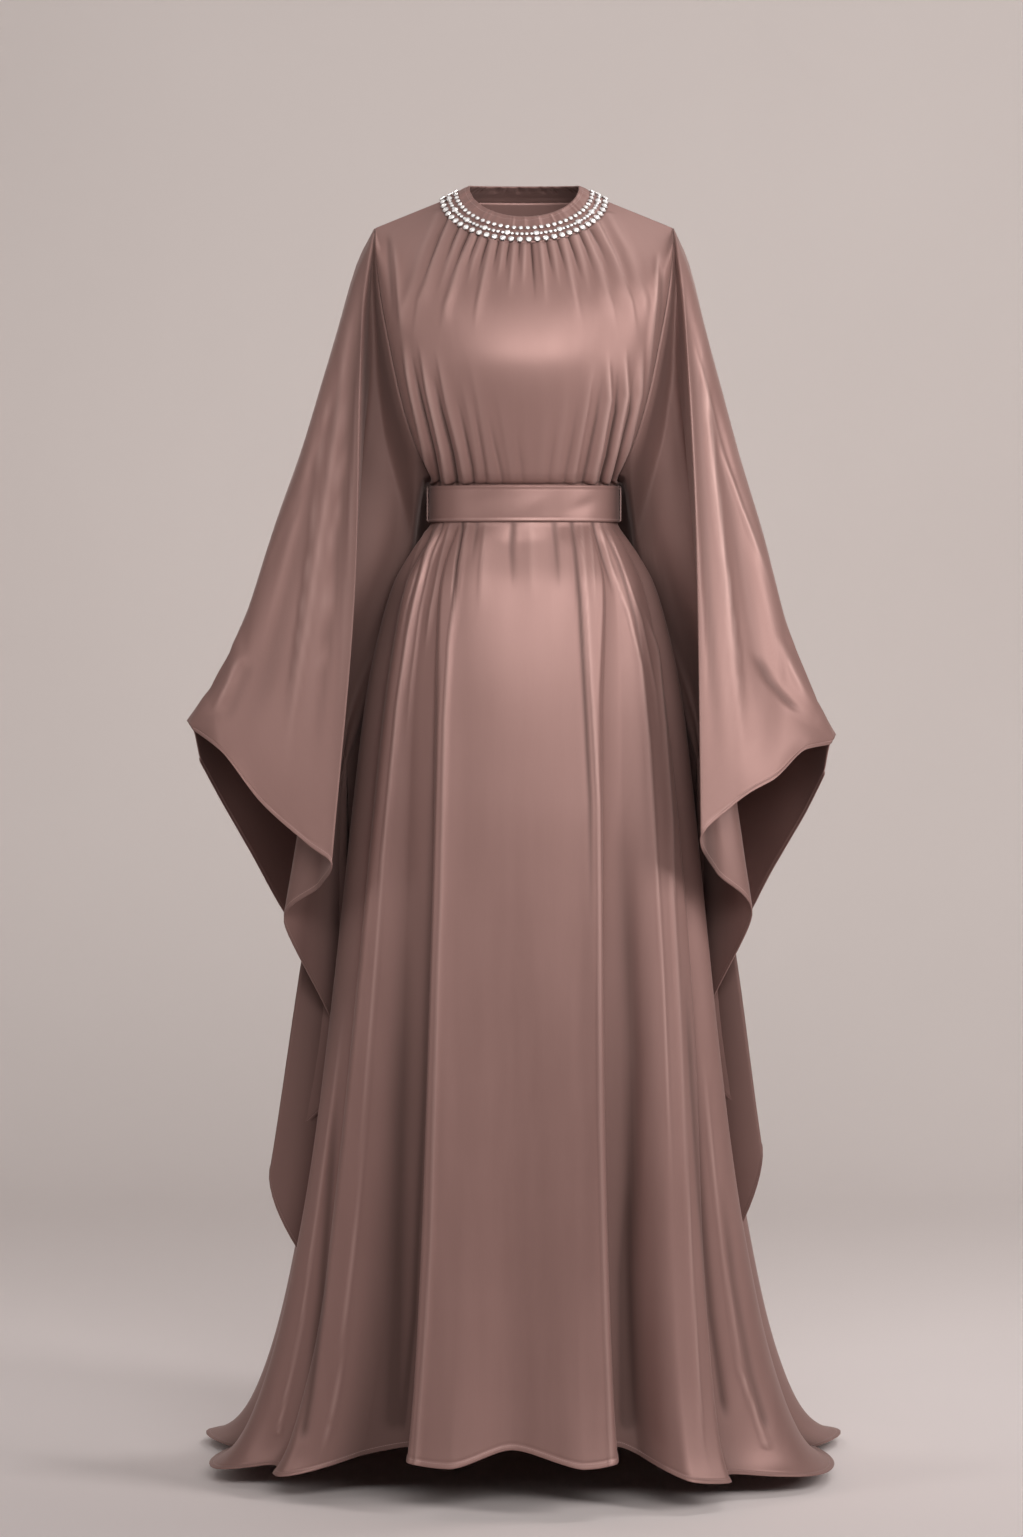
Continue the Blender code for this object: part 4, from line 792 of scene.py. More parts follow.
def crease_lift(points, creases, mirrored=False):
    """How far the creases of a table lift the cloth at each point, and the painted light of each crease's
    line
    there: painted shade below 0 in a trough and a painted highlight above it on a ridge."""
    across, height = seen(points)
    if mirrored:
        across = -across
    lift = np.zeros_like(across)
    painted_light = np.zeros_like(across)
    for _, depth, left, right, top_fade, foot_fade, line in creases:
        heights = np.array([z for _, z in line])[::-1]
        middle = np.interp(height, heights, np.array([x for x, _ in line])[::-1])
        off = across - middle
        width = np.where(off < 0, left, right)
        run = fade(height, heights[0], heights[0] + foot_fade)
        run = run * (1 - fade(height, heights[-1] - top_fade, heights[-1]))
        lift += depth * np.exp(-((off / width) ** 2)) * run
        # A ridge's painted highlight is narrower than its form; a trough's painted shade is as wide as it.
        narrow = RIDGE_NARROW if depth > 0 else 1.0
        strength = depth / CREASE_TELLS * min(1.0, TELLING_WIDTH / max(left, right))
        painted_light += strength * np.exp(-((off / (width * narrow)) ** 2)) * run
    return lift, painted_light


def lengths_of(points):
    """Distances along the cloth at each point: across from the middle column, and down from the first
    row."""
    across = np.linalg.norm(np.diff(points, axis=1), axis=2)
    across = np.concatenate((np.zeros((points.shape[0], 1)), np.cumsum(across, axis=1)), axis=1)
    across -= across[:, points.shape[1] // 2][:, None]
    down = np.linalg.norm(np.diff(points, axis=0), axis=2)
    down = np.concatenate((np.zeros((1, points.shape[1])), np.cumsum(down, axis=0)), axis=0)
    return across, down


def mesh_of(name, built):
    """The mesh that was built, under its name."""
    mesh = bpy.data.meshes.new(name)
    built.to_mesh(mesh)
    built.free()
    return mesh


def linked(name, data):
    """A new object in the scene, with its data."""
    made = bpy.data.objects.new(name, data)
    bpy.context.scene.collection.objects.link(made)
    return made


def sheet_mesh(name, points, painted_shade=None, painted_light=None, joined=False, hem="foot"):
    """A grid of cloth through an array of points, rows by columns. Its map weave holds distances along the
    cloth, and its map edge the place along the hem and the distance from it. Its attributes are painted
    light:
    painted shade, 1 where the cloth lies deep in a fold, and a painted highlight, 1 along the top of a sharp
    ridge."""
    if painted_shade is None:
        painted_shade = np.zeros(points.shape[:2])
    if painted_light is None:
        painted_light = np.zeros(points.shape[:2])
    # Painted shade is added along the creases' troughs, and their ridges get a painted highlight.
    painted_shade = np.clip(painted_shade + np.clip(-painted_light, 0.0, 1.0), 0.0, 1.0)
    ridge = np.clip(painted_light, 0.0, 1.0)
    rows, columns = points.shape[0] - 1, points.shape[1] - 1
    across, down = lengths_of(points)
    if hem == "foot":
        from_hem = down[-1:] - down
        along_hem = np.repeat(across[-1:], rows + 1, axis=0)
    elif hem == "top":
        from_hem = down
        along_hem = np.repeat(across[:1], rows + 1, axis=0)
    else:
        from_hem = np.full_like(down, FAR_FROM_HEM)
        along_hem = across
    sheet = bmesh.new()
    bmesh.ops.create_grid(sheet, x_segments=columns, y_segments=rows, size=1.0)
    weave = sheet.loops.layers.uv.new("weave")
    edge = sheet.loops.layers.uv.new("edge")
    # Layers for the painted shade and the painted highlight.
    deep = sheet.verts.layers.float.new("painted_shade")
    sharp = sheet.verts.layers.float.new("ridge")
    places = {}
    for vertex in sheet.verts:
        column_at = round((vertex.co.x + 1) / 2 * columns)
        row_at = round((vertex.co.y + 1) / 2 * rows)
        places[vertex] = (row_at, column_at)
        x, y, z = points[row_at, column_at]
        vertex.co = (x, y, z - HELD_HEIGHT)
        vertex[deep] = painted_shade[row_at, column_at]
        vertex[sharp] = ridge[row_at, column_at]
    for face in sheet.faces:
        for corner in face.loops:
            at = places[corner.vert]
            corner[weave].uv = (across[at], -down[at])
            corner[edge].uv = (along_hem[at], from_hem[at])
    if joined:
        bmesh.ops.remove_doubles(sheet, verts=sheet.verts, dist=0.00001)
        bmesh.ops.recalc_face_normals(sheet, faces=sheet.faces)
    mesh = mesh_of(name, sheet)
    mesh.shade_smooth()
    return mesh


def add_piece(name, mesh, finish, replaces, wall=None):
    """A named piece of the garment that stands for one or more of the plain solids."""
    piece = linked(name, mesh)
    mesh.materials.append(finish)
    if wall:
        thick = piece.modifiers.new("wall", "SOLIDIFY")
        thick.thickness = wall
        thick.offset = 0.0
        thick.use_rim = True
    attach(piece, "root")
    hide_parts(*replaces)
    return piece


def lifted(points, lift):
    """The sheet moved out along its normals."""
    return points + normals_of(points) * lift[..., None]


def hem_rolled(points):
    """The last few millimetres above the foot are turned up and stand a little proud on the outer side."""
    _, down = lengths_of(points)
    from_hem = down[-1:] - down
    roll = 1 - fade(from_hem, *(HEM_ROLL * share for share in HEM_ROLL_END))
    place, width, depth = HEM_GROOVE
    groove = np.exp(-(((from_hem - HEM_ROLL * place) / width) ** 2))
    return lifted(points, HEM_RISE * roll - depth * groove)


def bodice_points(rows, creases, back, columns, steps):
    """The bodice's sheet: rows run from side to side, and columns fan from the neck down to the waist."""
    down = np.concatenate([k + np.arange(count) / count for k, count in enumerate(steps)] + [[len(steps)]])
    knots = np.arange(len(rows))
    edge_places = smooth_through(knots, column(rows, 1), down)
    edge = np.array([bodice_edge_point(place, back) for place in edge_places])[:, None, :]
    centre_y, centre_z, turn = (
        smooth_through(knots, column(rows, i), down)[:, None] for i in (2, 3, 4)
    )
    turn = np.radians(turn)
    across = np.linspace(-1.0, 1.0, columns + 1)[None, :]
    angle = turn * across
    share = (1 - np.cos(angle)) / (1 - np.cos(turn))
    points = np.stack(
        (
            edge[..., 0] * np.sin(angle) / np.sin(turn),
            centre_y + (edge[..., 1] - centre_y) * share,
            centre_z + (edge[..., 2] - centre_z) * share,
        ),
        axis=-1,
    )
    on_shoulder = 1 - fade(edge_places, *SHOULDER_TRIM_END)[:, None]
    cut_back = SHOULDER_SEAM_TRIM if back else -SHOULDER_SEAM_TRIM
    points[..., 1] += cut_back * on_shoulder * fade(np.abs(across), EDGE_HELD, 1.0)
    points = softened(points, BODICE_PASSES, BODICE_HELD)
    height, reach, fullness = SIDE_FULLNESS
    at_side = fade(np.abs(across), SIDE_FULLNESS_FROM, 1.0)
    over_belt = np.exp(-(((points[..., 2] - height) / reach) ** 2)) * at_side
    points[..., 0] += np.sign(points[..., 0]) * fullness * over_belt
    under, over = CREASES_START
    above_belt = fade(points[..., 2], BELT_TOP - under, BELT_TOP + over)
    inside = 1 - fade(np.abs(across), EDGE_HELD, 1.0)
    lifts = [crease_lift(points, table, mirrored=back) for table in creases]
    lift, painted_light = (sum(parts) for parts in zip(*lifts))
    if not back:
        high, up, low, wide, depth = BUST
        rise = np.where(points[..., 2] > high, up, low)
        lift = lift + depth * np.exp(-(((points[..., 2] - high) / rise) ** 2) - (points[..., 0] / wide) ** 4)
    shade, start, foot, top = ARMHOLE_SHADE
    by_seam = shade * fade(np.abs(across), start, 1.0) * (1 - fade(points[..., 2], foot, top))
    return lifted(points, lift * above_belt * inside), by_seam + 0 * lift, painted_light


def softened(points, passes, held):
    """The sheet with its rows' curve made even, more towards the middle than at the held share of the
    sides."""
    across = np.abs(np.linspace(-1.0, 1.0, points.shape[1]))
    rows = np.linspace(0.0, 1.0, points.shape[0])[1:-1, None, None]
    loose = (1 - fade(across, held, 1.0))[None, :, None] * (1 - fade(rows, *BODICE_LOOSE))
    for _ in range(passes):
        evened = (points[:-2] + 2 * points[1:-1] + points[2:]) / 4
        points[1:-1] += (evened - points[1:-1]) * loose
    return points


def places_of(folds, creases):
    """The fold places of a table's creases, so that columns can stand closer there."""
    lines = np.arange(len(folds))
    behind = folds[0][3] > 0
    found = []
    for row in creases:
        for across, height in row[-1]:
            level = np.array(max(height, 0.0))
            half_width = smooth_through(column(SKIRT_FORM, 0), column(SKIRT_FORM, 1), level)
            angle = np.degrees(np.arcsin(np.clip(across / (half_width * 1.02), -0.98, 0.98)))
            at = [smooth_through(ANGLE_LEVELS, (fold[3], fold[2], fold[1]), level) for fold in folds]
            found.append(np.interp(angle + (180.0 if behind else 0.0), at, lines))
    return np.array(found)


def even_places(folds, creases, count):
    """Column places round the skirt, half way between the hip's spacing and the hem's, closer at the
    creases."""
    angles = (column(folds, 2) + column(folds, 3)) / 2
    walk = np.linspace(angles[0], angles[-1], 4001)
    density = np.ones_like(walk)
    for middle in np.interp(places_of(folds, creases), np.arange(len(folds)), angles):
        density = np.maximum(density, 1 + CROWDED * np.exp(-(((walk - middle) / CROWDED_ANGLE) ** 2)))
    walked = np.concatenate(([0.0], np.cumsum((density[1:] + density[:-1]) / 2)))
    at = np.interp(np.linspace(0.0, walked[-1], count + 1), walked, walk)
    return np.interp(at, angles, np.arange(len(folds)))


def skirt_points(folds, creases, count, waist_rows, hang_rows):
    """The skirt's sheet: each fold line hangs from the waist to its hem, and what is too long lies
    outwards."""
    places = even_places(folds, creases, count)
    lines = np.arange(len(folds))
    down = np.linspace(0.0, 1.0, hang_rows + 1)[1:, None]
    down = 1 - (1 - down) ** HEM_CROWDING
    hems = column(folds, 7)[None, :]
    upper = np.linspace(WAIST_SEAM, FREE_HEIGHT, waist_rows + 1)[:, None] + 0 * hems
    hang = np.concatenate((upper, FREE_HEIGHT + (hems - FREE_HEIGHT) * down))
    angles = np.empty_like(hang)
    outs = np.empty_like(hang)
    for k, row in enumerate(folds):
        angles[:, k] = smooth_through(ANGLE_LEVELS, (row[3], row[2], row[1]), hang[:, k])
        at_belt = math.copysign(BELT_FOLD_DEPTH, row[4])
        outs[:, k] = smooth_through(FOLD_LEVELS, (row[6], row[5], row[4], at_belt, 0.0, 0.0), hang[:, k])
    angle = np.radians(smooth_through(lines, angles.T, places).T)
    out = smooth_through(lines, outs.T, places).T
    hang = smooth_through(lines, hang.T, places).T
    bend = (np.sqrt(hang**2 + FLOOR_BEND**2) - hang) / 2
    height = hang + bend * (1 - fade(hang, 2 * FLOOR_BEND, FLOOR_BEND_TOP))
    levels_up = column(SKIRT_FORM, 0)
    half_width, half_depth, centre_y = (
        smooth_through(levels_up, column(SKIRT_FORM, i), height) for i in (1, 2, 3)
    )
    lying = np.maximum(height - hang, 0.0)
    x = (half_width + out + lying) * np.sin(angle)
    y = centre_y - (half_depth + out + lying) * np.cos(angle)
    points = trimmed(np.stack((x, y, height + WALL), axis=-1), SIDE_SEAM_TRIM)
    back = folds[0][3] > 0
    pressed = 1 - fade(points[..., 2], *BELT_PRESS)
    from_seam = np.minimum(places, lines[-1] - places)[None, :]
    lift, painted_light = crease_lift(points, creases, mirrored=back)
    # Painted shade deep in the folds, and along the skirt's sides below the sleeves.
    painted_shade = (1 - fade(out, *RECESS_OUT)) * (1 - fade(height, *RECESS_END))
    for side, from_share, to_share, foot, top, shade in SIDE_SHADES:
        share = side * x / (half_width + out)
        by_height = fade(height, foot, foot + SIDE_SHADE_RISE) * (1 - fade(height, top - SIDE_SHADE_END, top))
        painted_shade = np.maximum(painted_shade, shade * fade(share, from_share, to_share) * by_height)
    return hem_rolled(lifted(points, lift * pressed * fade(from_seam, *SEAM_FLAT))), painted_shade, painted_light


def sleeve_points(side, per_line, levels):
    """The sleeve's sheet: columns hang from the arm or the armhole, and their hems rise and fall in
    zigzags."""
    names = [row[0] for row in SLEEVE_LINES]
    lines = np.arange(len(names))
    tops, near_x, near_y, *lower = (column(SLEEVE_LINES, i) for i in range(1, 10))
    mid = np.stack(lower[:3], axis=1)
    hem = np.stack(lower[3:], axis=1)
    reach = 1.0
    wrist_drop = 0.0
    if side > 0:
        reach = RIGHT_REACH
        wrist_drop = RIGHT_WRIST_DROP
        for line, mid_x, hem_x, hem_z in RIGHT_CHANGES:
            mid[names.index(line)] += (mid_x, 0.0, 0.0)
            hem[names.index(line)] += (hem_x, 0.0, hem_z)
    places = np.linspace(0, lines[-1], lines[-1] * per_line + 1)
    back_fold = names.index("back fold")
    back_arm_tops = np.interp(places, lines[back_fold:], np.append(1.0, tops[back_fold + 1 :]))
    top_places = np.where(places > back_fold, back_arm_tops, np.interp(places, lines, tops))
    top = np.array([sleeve_top(place) for place in top_places])
    mid = smooth_through(lines, mid, places)
    hem = smooth_through(lines, hem, places)
    for line in (top, mid, hem):
        line[:, 2] -= wrist_drop * (1 - fade(top_places, 0.0, 0.5))
    near = smooth_through(lines, np.stack((near_x, near_y, 0 * near_x), axis=1), places)
    near[:, 2] = top[:, 2] + (hem[:, 2] - top[:, 2]) * SLEEVE_STATIONS[2]
    over_arm = top + (near - top) * np.array(ARM_ROUNDING)
    at_waist = 1 - fade(np.abs(top_places - 2.0), *WAIST_EASE)
    for line, less_near, back_near, less_mid, less_hem in SLEEVE_HUG:
        weight = np.exp(-(((places - names.index(line)) / HUG_REACH) ** 2))
        near[:, 0] -= less_near * weight
        near[:, 1] += back_near * weight
        mid[:, 0] -= less_mid * weight
        hem[:, 0] -= less_hem * weight
    stand = top + np.array(SEAM_STAND) * (SEAM_STAND_LEAST + (1 - SEAM_STAND_LEAST) * at_waist)[:, None]
    on_seam = fade(np.minimum(top_places - 1.0, 3.0 - top_places), 0.0, SEAM_EASE)[:, None]
    start = over_arm + (stand - over_arm) * on_seam
    down = np.linspace(0.0, 1.0, levels + 1) ** SLEEVE_CROWDING
    down = 1 - (1 - down) ** SLEEVE_HEM_CROWDING
    points = smooth_through(SLEEVE_STATIONS, np.stack((top, start, near, mid, hem)), down)
    beyond = np.maximum(points[..., 0] - SHOULDER_X, 0.0)
    points[..., 0] -= beyond * (1 - reach)
    points[..., 0] *= side
    front = (1 - fade(places, *FRONT_FOLDS_END))[None, :]
    behind = fade(places, *BACK_FOLDS_START)[None, :]
    creases = in_metres(SLEEVE_LEFT_CREASES if side < 0 else SLEEVE_RIGHT_CREASES)
    lift, painted_light = crease_lift(points, creases)
    run = np.linspace(0.0, 1.0, levels + 1)[:, None]
    lift = lift * (front + behind) * fade(run, 0.0, SLEEVE_TOP_HELD)
    painted_light = painted_light * (front + behind)
    inner = sum(
        depth * np.exp(-(((places[None, :] - middle) / width) ** 2))
        for middle, width, depth in SLEEVE_INNER_FOLDS
    )
    lift = lift + inner * fade(run, *INNER_RISE) * (1 - fade(run, *INNER_FADE))
    # Painted shade on the sleeve's inner layers, beside the belt and beside the hips.
    depths = SLEEVE_LEFT_RECESS if side < 0 else SLEEVE_RIGHT_RECESS
    painted_shade = np.interp(places, *zip(*depths))[None, :] * (1 - RECESS_LESS * fade(run, *RECESS_LESS_AT))
    near_x, clear_x, middle, reach, shade = BELT_SHADE
    by_belt = 1 - fade(np.abs(points[..., 0]), near_x, clear_x)
    by_belt = by_belt * np.exp(-(((points[..., 2] - middle) / reach) ** 2))
    painted_shade = np.maximum(painted_shade, shade * by_belt)
    foot, top, clear, shade = HIP_SHADE
    beside = np.abs(points[..., 0]) - np.interp(points[..., 2], column(SKIRT_FORM, 0), column(SKIRT_FORM, 1))
    by_hip = (1 - fade(beside, 0.0, clear)) * fade(points[..., 2], foot, foot + HIP_SHADE_RISE)
    by_hip = by_hip * (1 - fade(points[..., 2], top - HIP_SHADE_END, top))
    inner = fade(places, *INNER_START) * (1 - fade(places, *INNER_END))
    painted_shade = np.maximum(painted_shade, shade * by_hip * inner[None, :])
    return hem_rolled(lifted(points, lift)), painted_shade, painted_light


def neckband_points(segments, levels):
    """The band from its top edge down and out to the gathered seam, in uneven soft pleats on the stand."""
    angle = around(segments)[None, :]
    ring = np.linspace(0.0, len(NECK_RINGS) - 1.02, levels + 1)[:, None]
    points = neck_point(ring, angle)
    turn = np.degrees(angle) % 360.0
    lift = np.zeros(points.shape[:2])
    for middle, width, depth in BAND_PLEATS:
        off = (turn - middle + 180.0) % 360.0 - 180.0
        lift = lift + depth * np.exp(-((off / width) ** 2))
    lift = (lift - PLEATS_SUNK) * fade(ring, *PLEATS_RISE) * (1 - fade(ring, *PLEATS_END))
    rolled = BAND_ROLL * (1 - fade(ring, *BAND_ROLL_END))
    return lifted(points, lift + rolled)


def belt_points(segments, levels):
    """The flat band with its turned edges standing a little proud, and a few soft dents."""
    angle = around(segments)[None, :]
    _, half_width, half_depth, centre_y = SKIRT_FORM[-1]
    height = np.linspace(BELT_TOP, BELT_BOTTOM, levels + 1)[:, None]
    from_edge = np.minimum(BELT_TOP - height, height - BELT_BOTTOM)
    out = WALL / 2 + BELT_CLEAR + BELT_STAND + BELT_FLARE * (BELT_TOP - height) / (BELT_TOP - BELT_BOTTOM)
    out = out + BELT_EDGE_RISE * (1 - fade(from_edge, BELT_EDGE * BELT_EDGE_FULL, BELT_EDGE))
    groove_width, groove_depth = BELT_GROOVE
    out = out - groove_depth * np.exp(-(((from_edge - BELT_EDGE) / groove_width) ** 2))
    turn = (np.degrees(angle) + 180.0) % 360.0 - 180.0
    for middle, at_height, wide, high, depth in BELT_DENTS:
        off = (turn - middle + 180.0) % 360.0 - 180.0
        lean = off - (height - at_height) * DENT_LEAN
        out = out + depth * np.exp(-((lean / wide) ** 2) - ((height - at_height) / high) ** 2)
    x = (half_width + out) * np.sin(angle)
    y = centre_y - (half_depth + out) * np.cos(angle)
    return np.stack((x, y, height + 0 * angle), axis=-1)


def frame_at(ring, angle):
    """Centre, along, up and out directions on the band's surface."""
    near = neck_point(np.array([[ring - 0.3], [ring], [ring + 0.3]]), angle[None, :])
    down = near[2] - near[0]
    down /= np.linalg.norm(down, axis=1, keepdims=True)
    normal = normals_of(near)[1]
    return near[1], down, np.cross(down, normal), normal


def add_stone(sheet, centre, down, along, out, size):
    """One cut stone in a low metal cup: a flattened globe of facets whose pole faces outwards."""
    seat = Matrix((along, down, out)).transposed().to_4x4()
    at = Vector((centre[0], centre[1], centre[2] - HELD_HEIGHT)) + STONE_SEAT * Vector(out)
    flat = Matrix.Diagonal((1.0, 1.0, STONE_RISE, 1.0))
    dome = Matrix.Translation(at + 0.10 * size * Vector(out)) @ seat @ flat
    bmesh.ops.create_uvsphere(sheet, u_segments=9, v_segments=6, radius=size / 2, matrix=dome)
    made = bmesh.ops.create_cone(
        sheet, cap_ends=True, segments=9, radius1=size * 0.50, radius2=size * 0.56, depth=size * 0.30,
        matrix=Matrix.Translation(at) @ seat,
    )
    for face in {face for vertex in made["verts"] for face in vertex.link_faces}:
        face.material_index = 1


def stone_row(name, ring, pitch, diameter, large_every, large):
    """A row of set stones that lie on the band, all round the neck, as one piece."""
    turns = np.linspace(0.0, 2 * math.pi, 721)
    line = neck_point(np.full(721, ring), turns)
    steps = np.linalg.norm(np.diff(line, axis=0), axis=1)
    walked = np.concatenate(([0.0], np.cumsum(steps)))
    count = round(walked[-1] / pitch)
    sheet = bmesh.new()
    at = (np.arange(count) + 0.5) * walked[-1] / count
    angles = np.interp(at, walked, turns)
    centres, downs, alongs, outs = frame_at(ring, angles)
    for k in range(count):
        size = diameter
        if large_every and k % large_every == 2:
            size = large
        if large_every and k % large_every in (1, 3):
            size = diameter * 0.86
        add_stone(sheet, centres[k], downs[k], alongs[k], outs[k], size)
    bmesh.ops.recalc_face_normals(sheet, faces=sheet.faces)
    return mesh_of(name, sheet)


def node(tree, kind, **values):
    made = tree.nodes.new(kind)
    for key, value in values.items():
        setattr(made, key, value)
    return made


def math_node(tree, operation, first, second=None):
    made = node(tree, "ShaderNodeMath", operation=operation)
    for socket, value in zip(made.inputs, (first, second)):
        if value is None:
            continue
        if isinstance(value, (int, float)):
            socket.default_value = value
        else:
            tree.links.new(value, socket)
    return made.outputs[0]


def mix_colour(tree, share, first, second):
    made = node(tree, "ShaderNodeMix", data_type="RGBA")
    for socket, value in zip((made.inputs[0], made.inputs[6], made.inputs[7]), (share, first, second)):
        if isinstance(value, (int, float)):
            socket.default_value = value
        elif isinstance(value, tuple):
            socket.default_value = (*value, 1.0)
        else:
            tree.links.new(value, socket)
    return made.outputs[2]


def noise(tree, vector, scale, detail=2.0, stretch=None):
    """A soft noise, read along a vector that may be stretched first."""
    if stretch:
        mapped = node(tree, "ShaderNodeMapping")
        mapped.inputs["Scale"].default_value = stretch
        tree.links.new(vector, mapped.inputs["Vector"])
        vector = mapped.outputs["Vector"]
    made = node(tree, "ShaderNodeTexNoise")
    made.inputs["Scale"].default_value = scale
    made.inputs["Detail"].default_value = detail
    tree.links.new(vector, made.inputs["Vector"])
    return made.outputs["Fac"]


def new_material(name):
    """A new material with its node tree and its shader."""
    made = bpy.data.materials.new(name)
    made.use_nodes = True
    return made, made.node_tree, made.node_tree.nodes["Principled BSDF"]


def satin_material(name, light, deep, roughness, stitch_from, stitch_to):
    """Satin with a fine diagonal weave, faint slubs, uneven tone, a row of stitches near its edge, painted
    shade and highlights.
    """
    made, tree, shader = new_material(name)
    weave = node(tree, "ShaderNodeUVMap", uv_map="weave").outputs["UV"]
    edge = node(tree, "ShaderNodeUVMap", uv_map="edge").outputs["UV"]
    place = node(tree, "ShaderNodeTexCoord").outputs["Object"]
    twill = node(tree, "ShaderNodeTexWave", wave_type="BANDS", bands_direction="DIAGONAL", wave_profile="SIN")
    twill.inputs["Scale"].default_value = TWILL_SCALE
    twill.inputs["Distortion"].default_value = 0.6
    twill.inputs["Detail"].default_value = 1.0
    tree.links.new(weave, twill.inputs["Vector"])
    slub = noise(tree, weave, 1.0, 3.0, stretch=(900.0, 60.0, 1.0))
    streak = noise(tree, weave, 1.0, 2.0, stretch=(60.0, 5.0, 1.0))
    cloud = noise(tree, place, 7.0, 3.0)
    broad = math_node(tree, "MULTIPLY", cloud, 0.55)
    tone = math_node(tree, "ADD", broad, math_node(tree, "MULTIPLY", streak, 0.30))
    tone = math_node(tree, "ADD", tone, math_node(tree, "MULTIPLY", slub, 0.15))
    colour = mix_colour(tree, tone, deep, light)
    colour = mix_colour(tree, math_node(tree, "MULTIPLY", twill.outputs["Fac"], 0.10), colour, deep)
    # Painted highlight along the tops of sharp ridges, and painted shade deep in folds, creases and beside
    # parts.
    painted_shade = node(tree, "ShaderNodeAttribute", attribute_name="painted_shade").outputs["Fac"]
    ridge = node(tree, "ShaderNodeAttribute", attribute_name="ridge").outputs["Fac"]
    colour = mix_colour(tree, math_node(tree, "MULTIPLY", ridge, 0.45), colour, SATIN_PAINTED_HIGHLIGHT)
    colour = mix_colour(tree, math_node(tree, "MULTIPLY", painted_shade, 0.9), colour, SATIN_PAINTED_SHADE)
    parts = node(tree, "ShaderNodeSeparateXYZ")
    tree.links.new(edge, parts.inputs[0])
    from_hem = parts.outputs["Y"]
    in_line = math_node(
        tree, "MULTIPLY",
        math_node(tree, "GREATER_THAN", from_hem, stitch_from),
        math_node(tree, "LESS_THAN", from_hem, stitch_to),
    )
    along = math_node(tree, "FRACT", math_node(tree, "MULTIPLY", parts.outputs["X"], 1 / STITCH_LENGTH))
    stitched = math_node(tree, "MULTIPLY", in_line, math_node(tree, "LESS_THAN", along, 0.78))
    colour = mix_colour(tree, math_node(tree, "MULTIPLY", stitched, 0.55), colour, THREAD)
    tree.links.new(colour, shader.inputs["Base Color"])
    rough = math_node(tree, "ADD", roughness - 0.05, math_node(tree, "MULTIPLY", streak, 0.10))
    # Where it is painted in shade the cloth is also rougher and less metallic, so its reflections dim with
    # it.
    rough = math_node(tree, "ADD", rough, math_node(tree, "MULTIPLY", painted_shade, 0.35))
    tree.links.new(rough, shader.inputs["Roughness"])
    out_of_painted_shade = math_node(tree, "SUBTRACT", 1.0, painted_shade)
    tree.links.new(math_node(tree, "MULTIPLY", out_of_painted_shade, SATIN_METAL), shader.inputs["Metallic"])
    relief = math_node(tree, "ADD", math_node(tree, "MULTIPLY", twill.outputs["Fac"], 0.5), slub)
    relief = math_node(tree, "ADD", relief, math_node(tree, "MULTIPLY", stitched, 2.5))
    bump = node(tree, "ShaderNodeBump")
    bump.inputs["Strength"].default_value = 0.22
    bump.inputs["Distance"].default_value = 0.00015
    tree.links.new(relief, bump.inputs["Height"])
    tree.links.new(bump.outputs["Normal"], shader.inputs["Normal"])
    tangent = node(tree, "ShaderNodeTangent", direction_type="UV_MAP", uv_map="weave")
    tree.links.new(tangent.outputs["Tangent"], shader.inputs["Tangent"])
    shader.inputs["Anisotropic"].default_value = 0.35
    shader.inputs["Specular IOR Level"].default_value = 0.34
    shader.inputs["Sheen Weight"].default_value = 0.15
    shader.inputs["Sheen Roughness"].default_value = 0.45
    shader.inputs["Sheen Tint"].default_value = (0.95, 0.72, 0.68, 1.0)
    return made


def stone_material():
    """Bright cut glass with a foiled back: silvery, and a little different from stone to stone."""
    made, tree, shader = new_material("crystal")
    place = node(tree, "ShaderNodeTexCoord").outputs["Object"]
    cells = node(tree, "ShaderNodeTexVoronoi")
    cells.inputs["Scale"].default_value = 260.0
    tree.links.new(place, cells.inputs["Vector"])
    parts = node(tree, "ShaderNodeSeparateXYZ")
    tree.links.new(cells.outputs["Color"], parts.inputs[0])
    colour = mix_colour(tree, parts.outputs["X"], (0.80, 0.79, 0.80), (1.0, 0.99, 0.97))
    tree.links.new(colour, shader.inputs["Base Color"])
    rough = math_node(tree, "ADD", 0.10, math_node(tree, "MULTIPLY", parts.outputs["Y"], 0.15))
    tree.links.new(rough, shader.inputs["Roughness"])
    shader.inputs["Metallic"].default_value = 0.30
    shader.inputs["Coat Weight"].default_value = 1.0
    shader.inputs["Coat Roughness"].default_value = 0.03
    return made


def setting_material():
    """Grey metal cups that hold the stones."""
    made, tree, shader = new_material("setting")
    place = node(tree, "ShaderNodeTexCoord").outputs["Object"]
    worn = noise(tree, place, 400.0, 2.0)
    colour = mix_colour(tree, worn, (0.34, 0.31, 0.30), (0.56, 0.53, 0.52))
    tree.links.new(colour, shader.inputs["Base Color"])
    rough = math_node(tree, "ADD", 0.22, math_node(tree, "MULTIPLY", worn, 0.2))
    tree.links.new(rough, shader.inputs["Roughness"])
    shader.inputs["Metallic"].default_value = 1.0
    return made


def plain_material(name, first, second, roughness, scale):
    made, tree, shader = new_material(name)
    place = node(tree, "ShaderNodeTexCoord").outputs["Object"]
    cloud = noise(tree, place, scale, 3.0)
    tree.links.new(mix_colour(tree, cloud, first, second), shader.inputs["Base Color"])
    shader.inputs["Roughness"].default_value = roughness
    return made


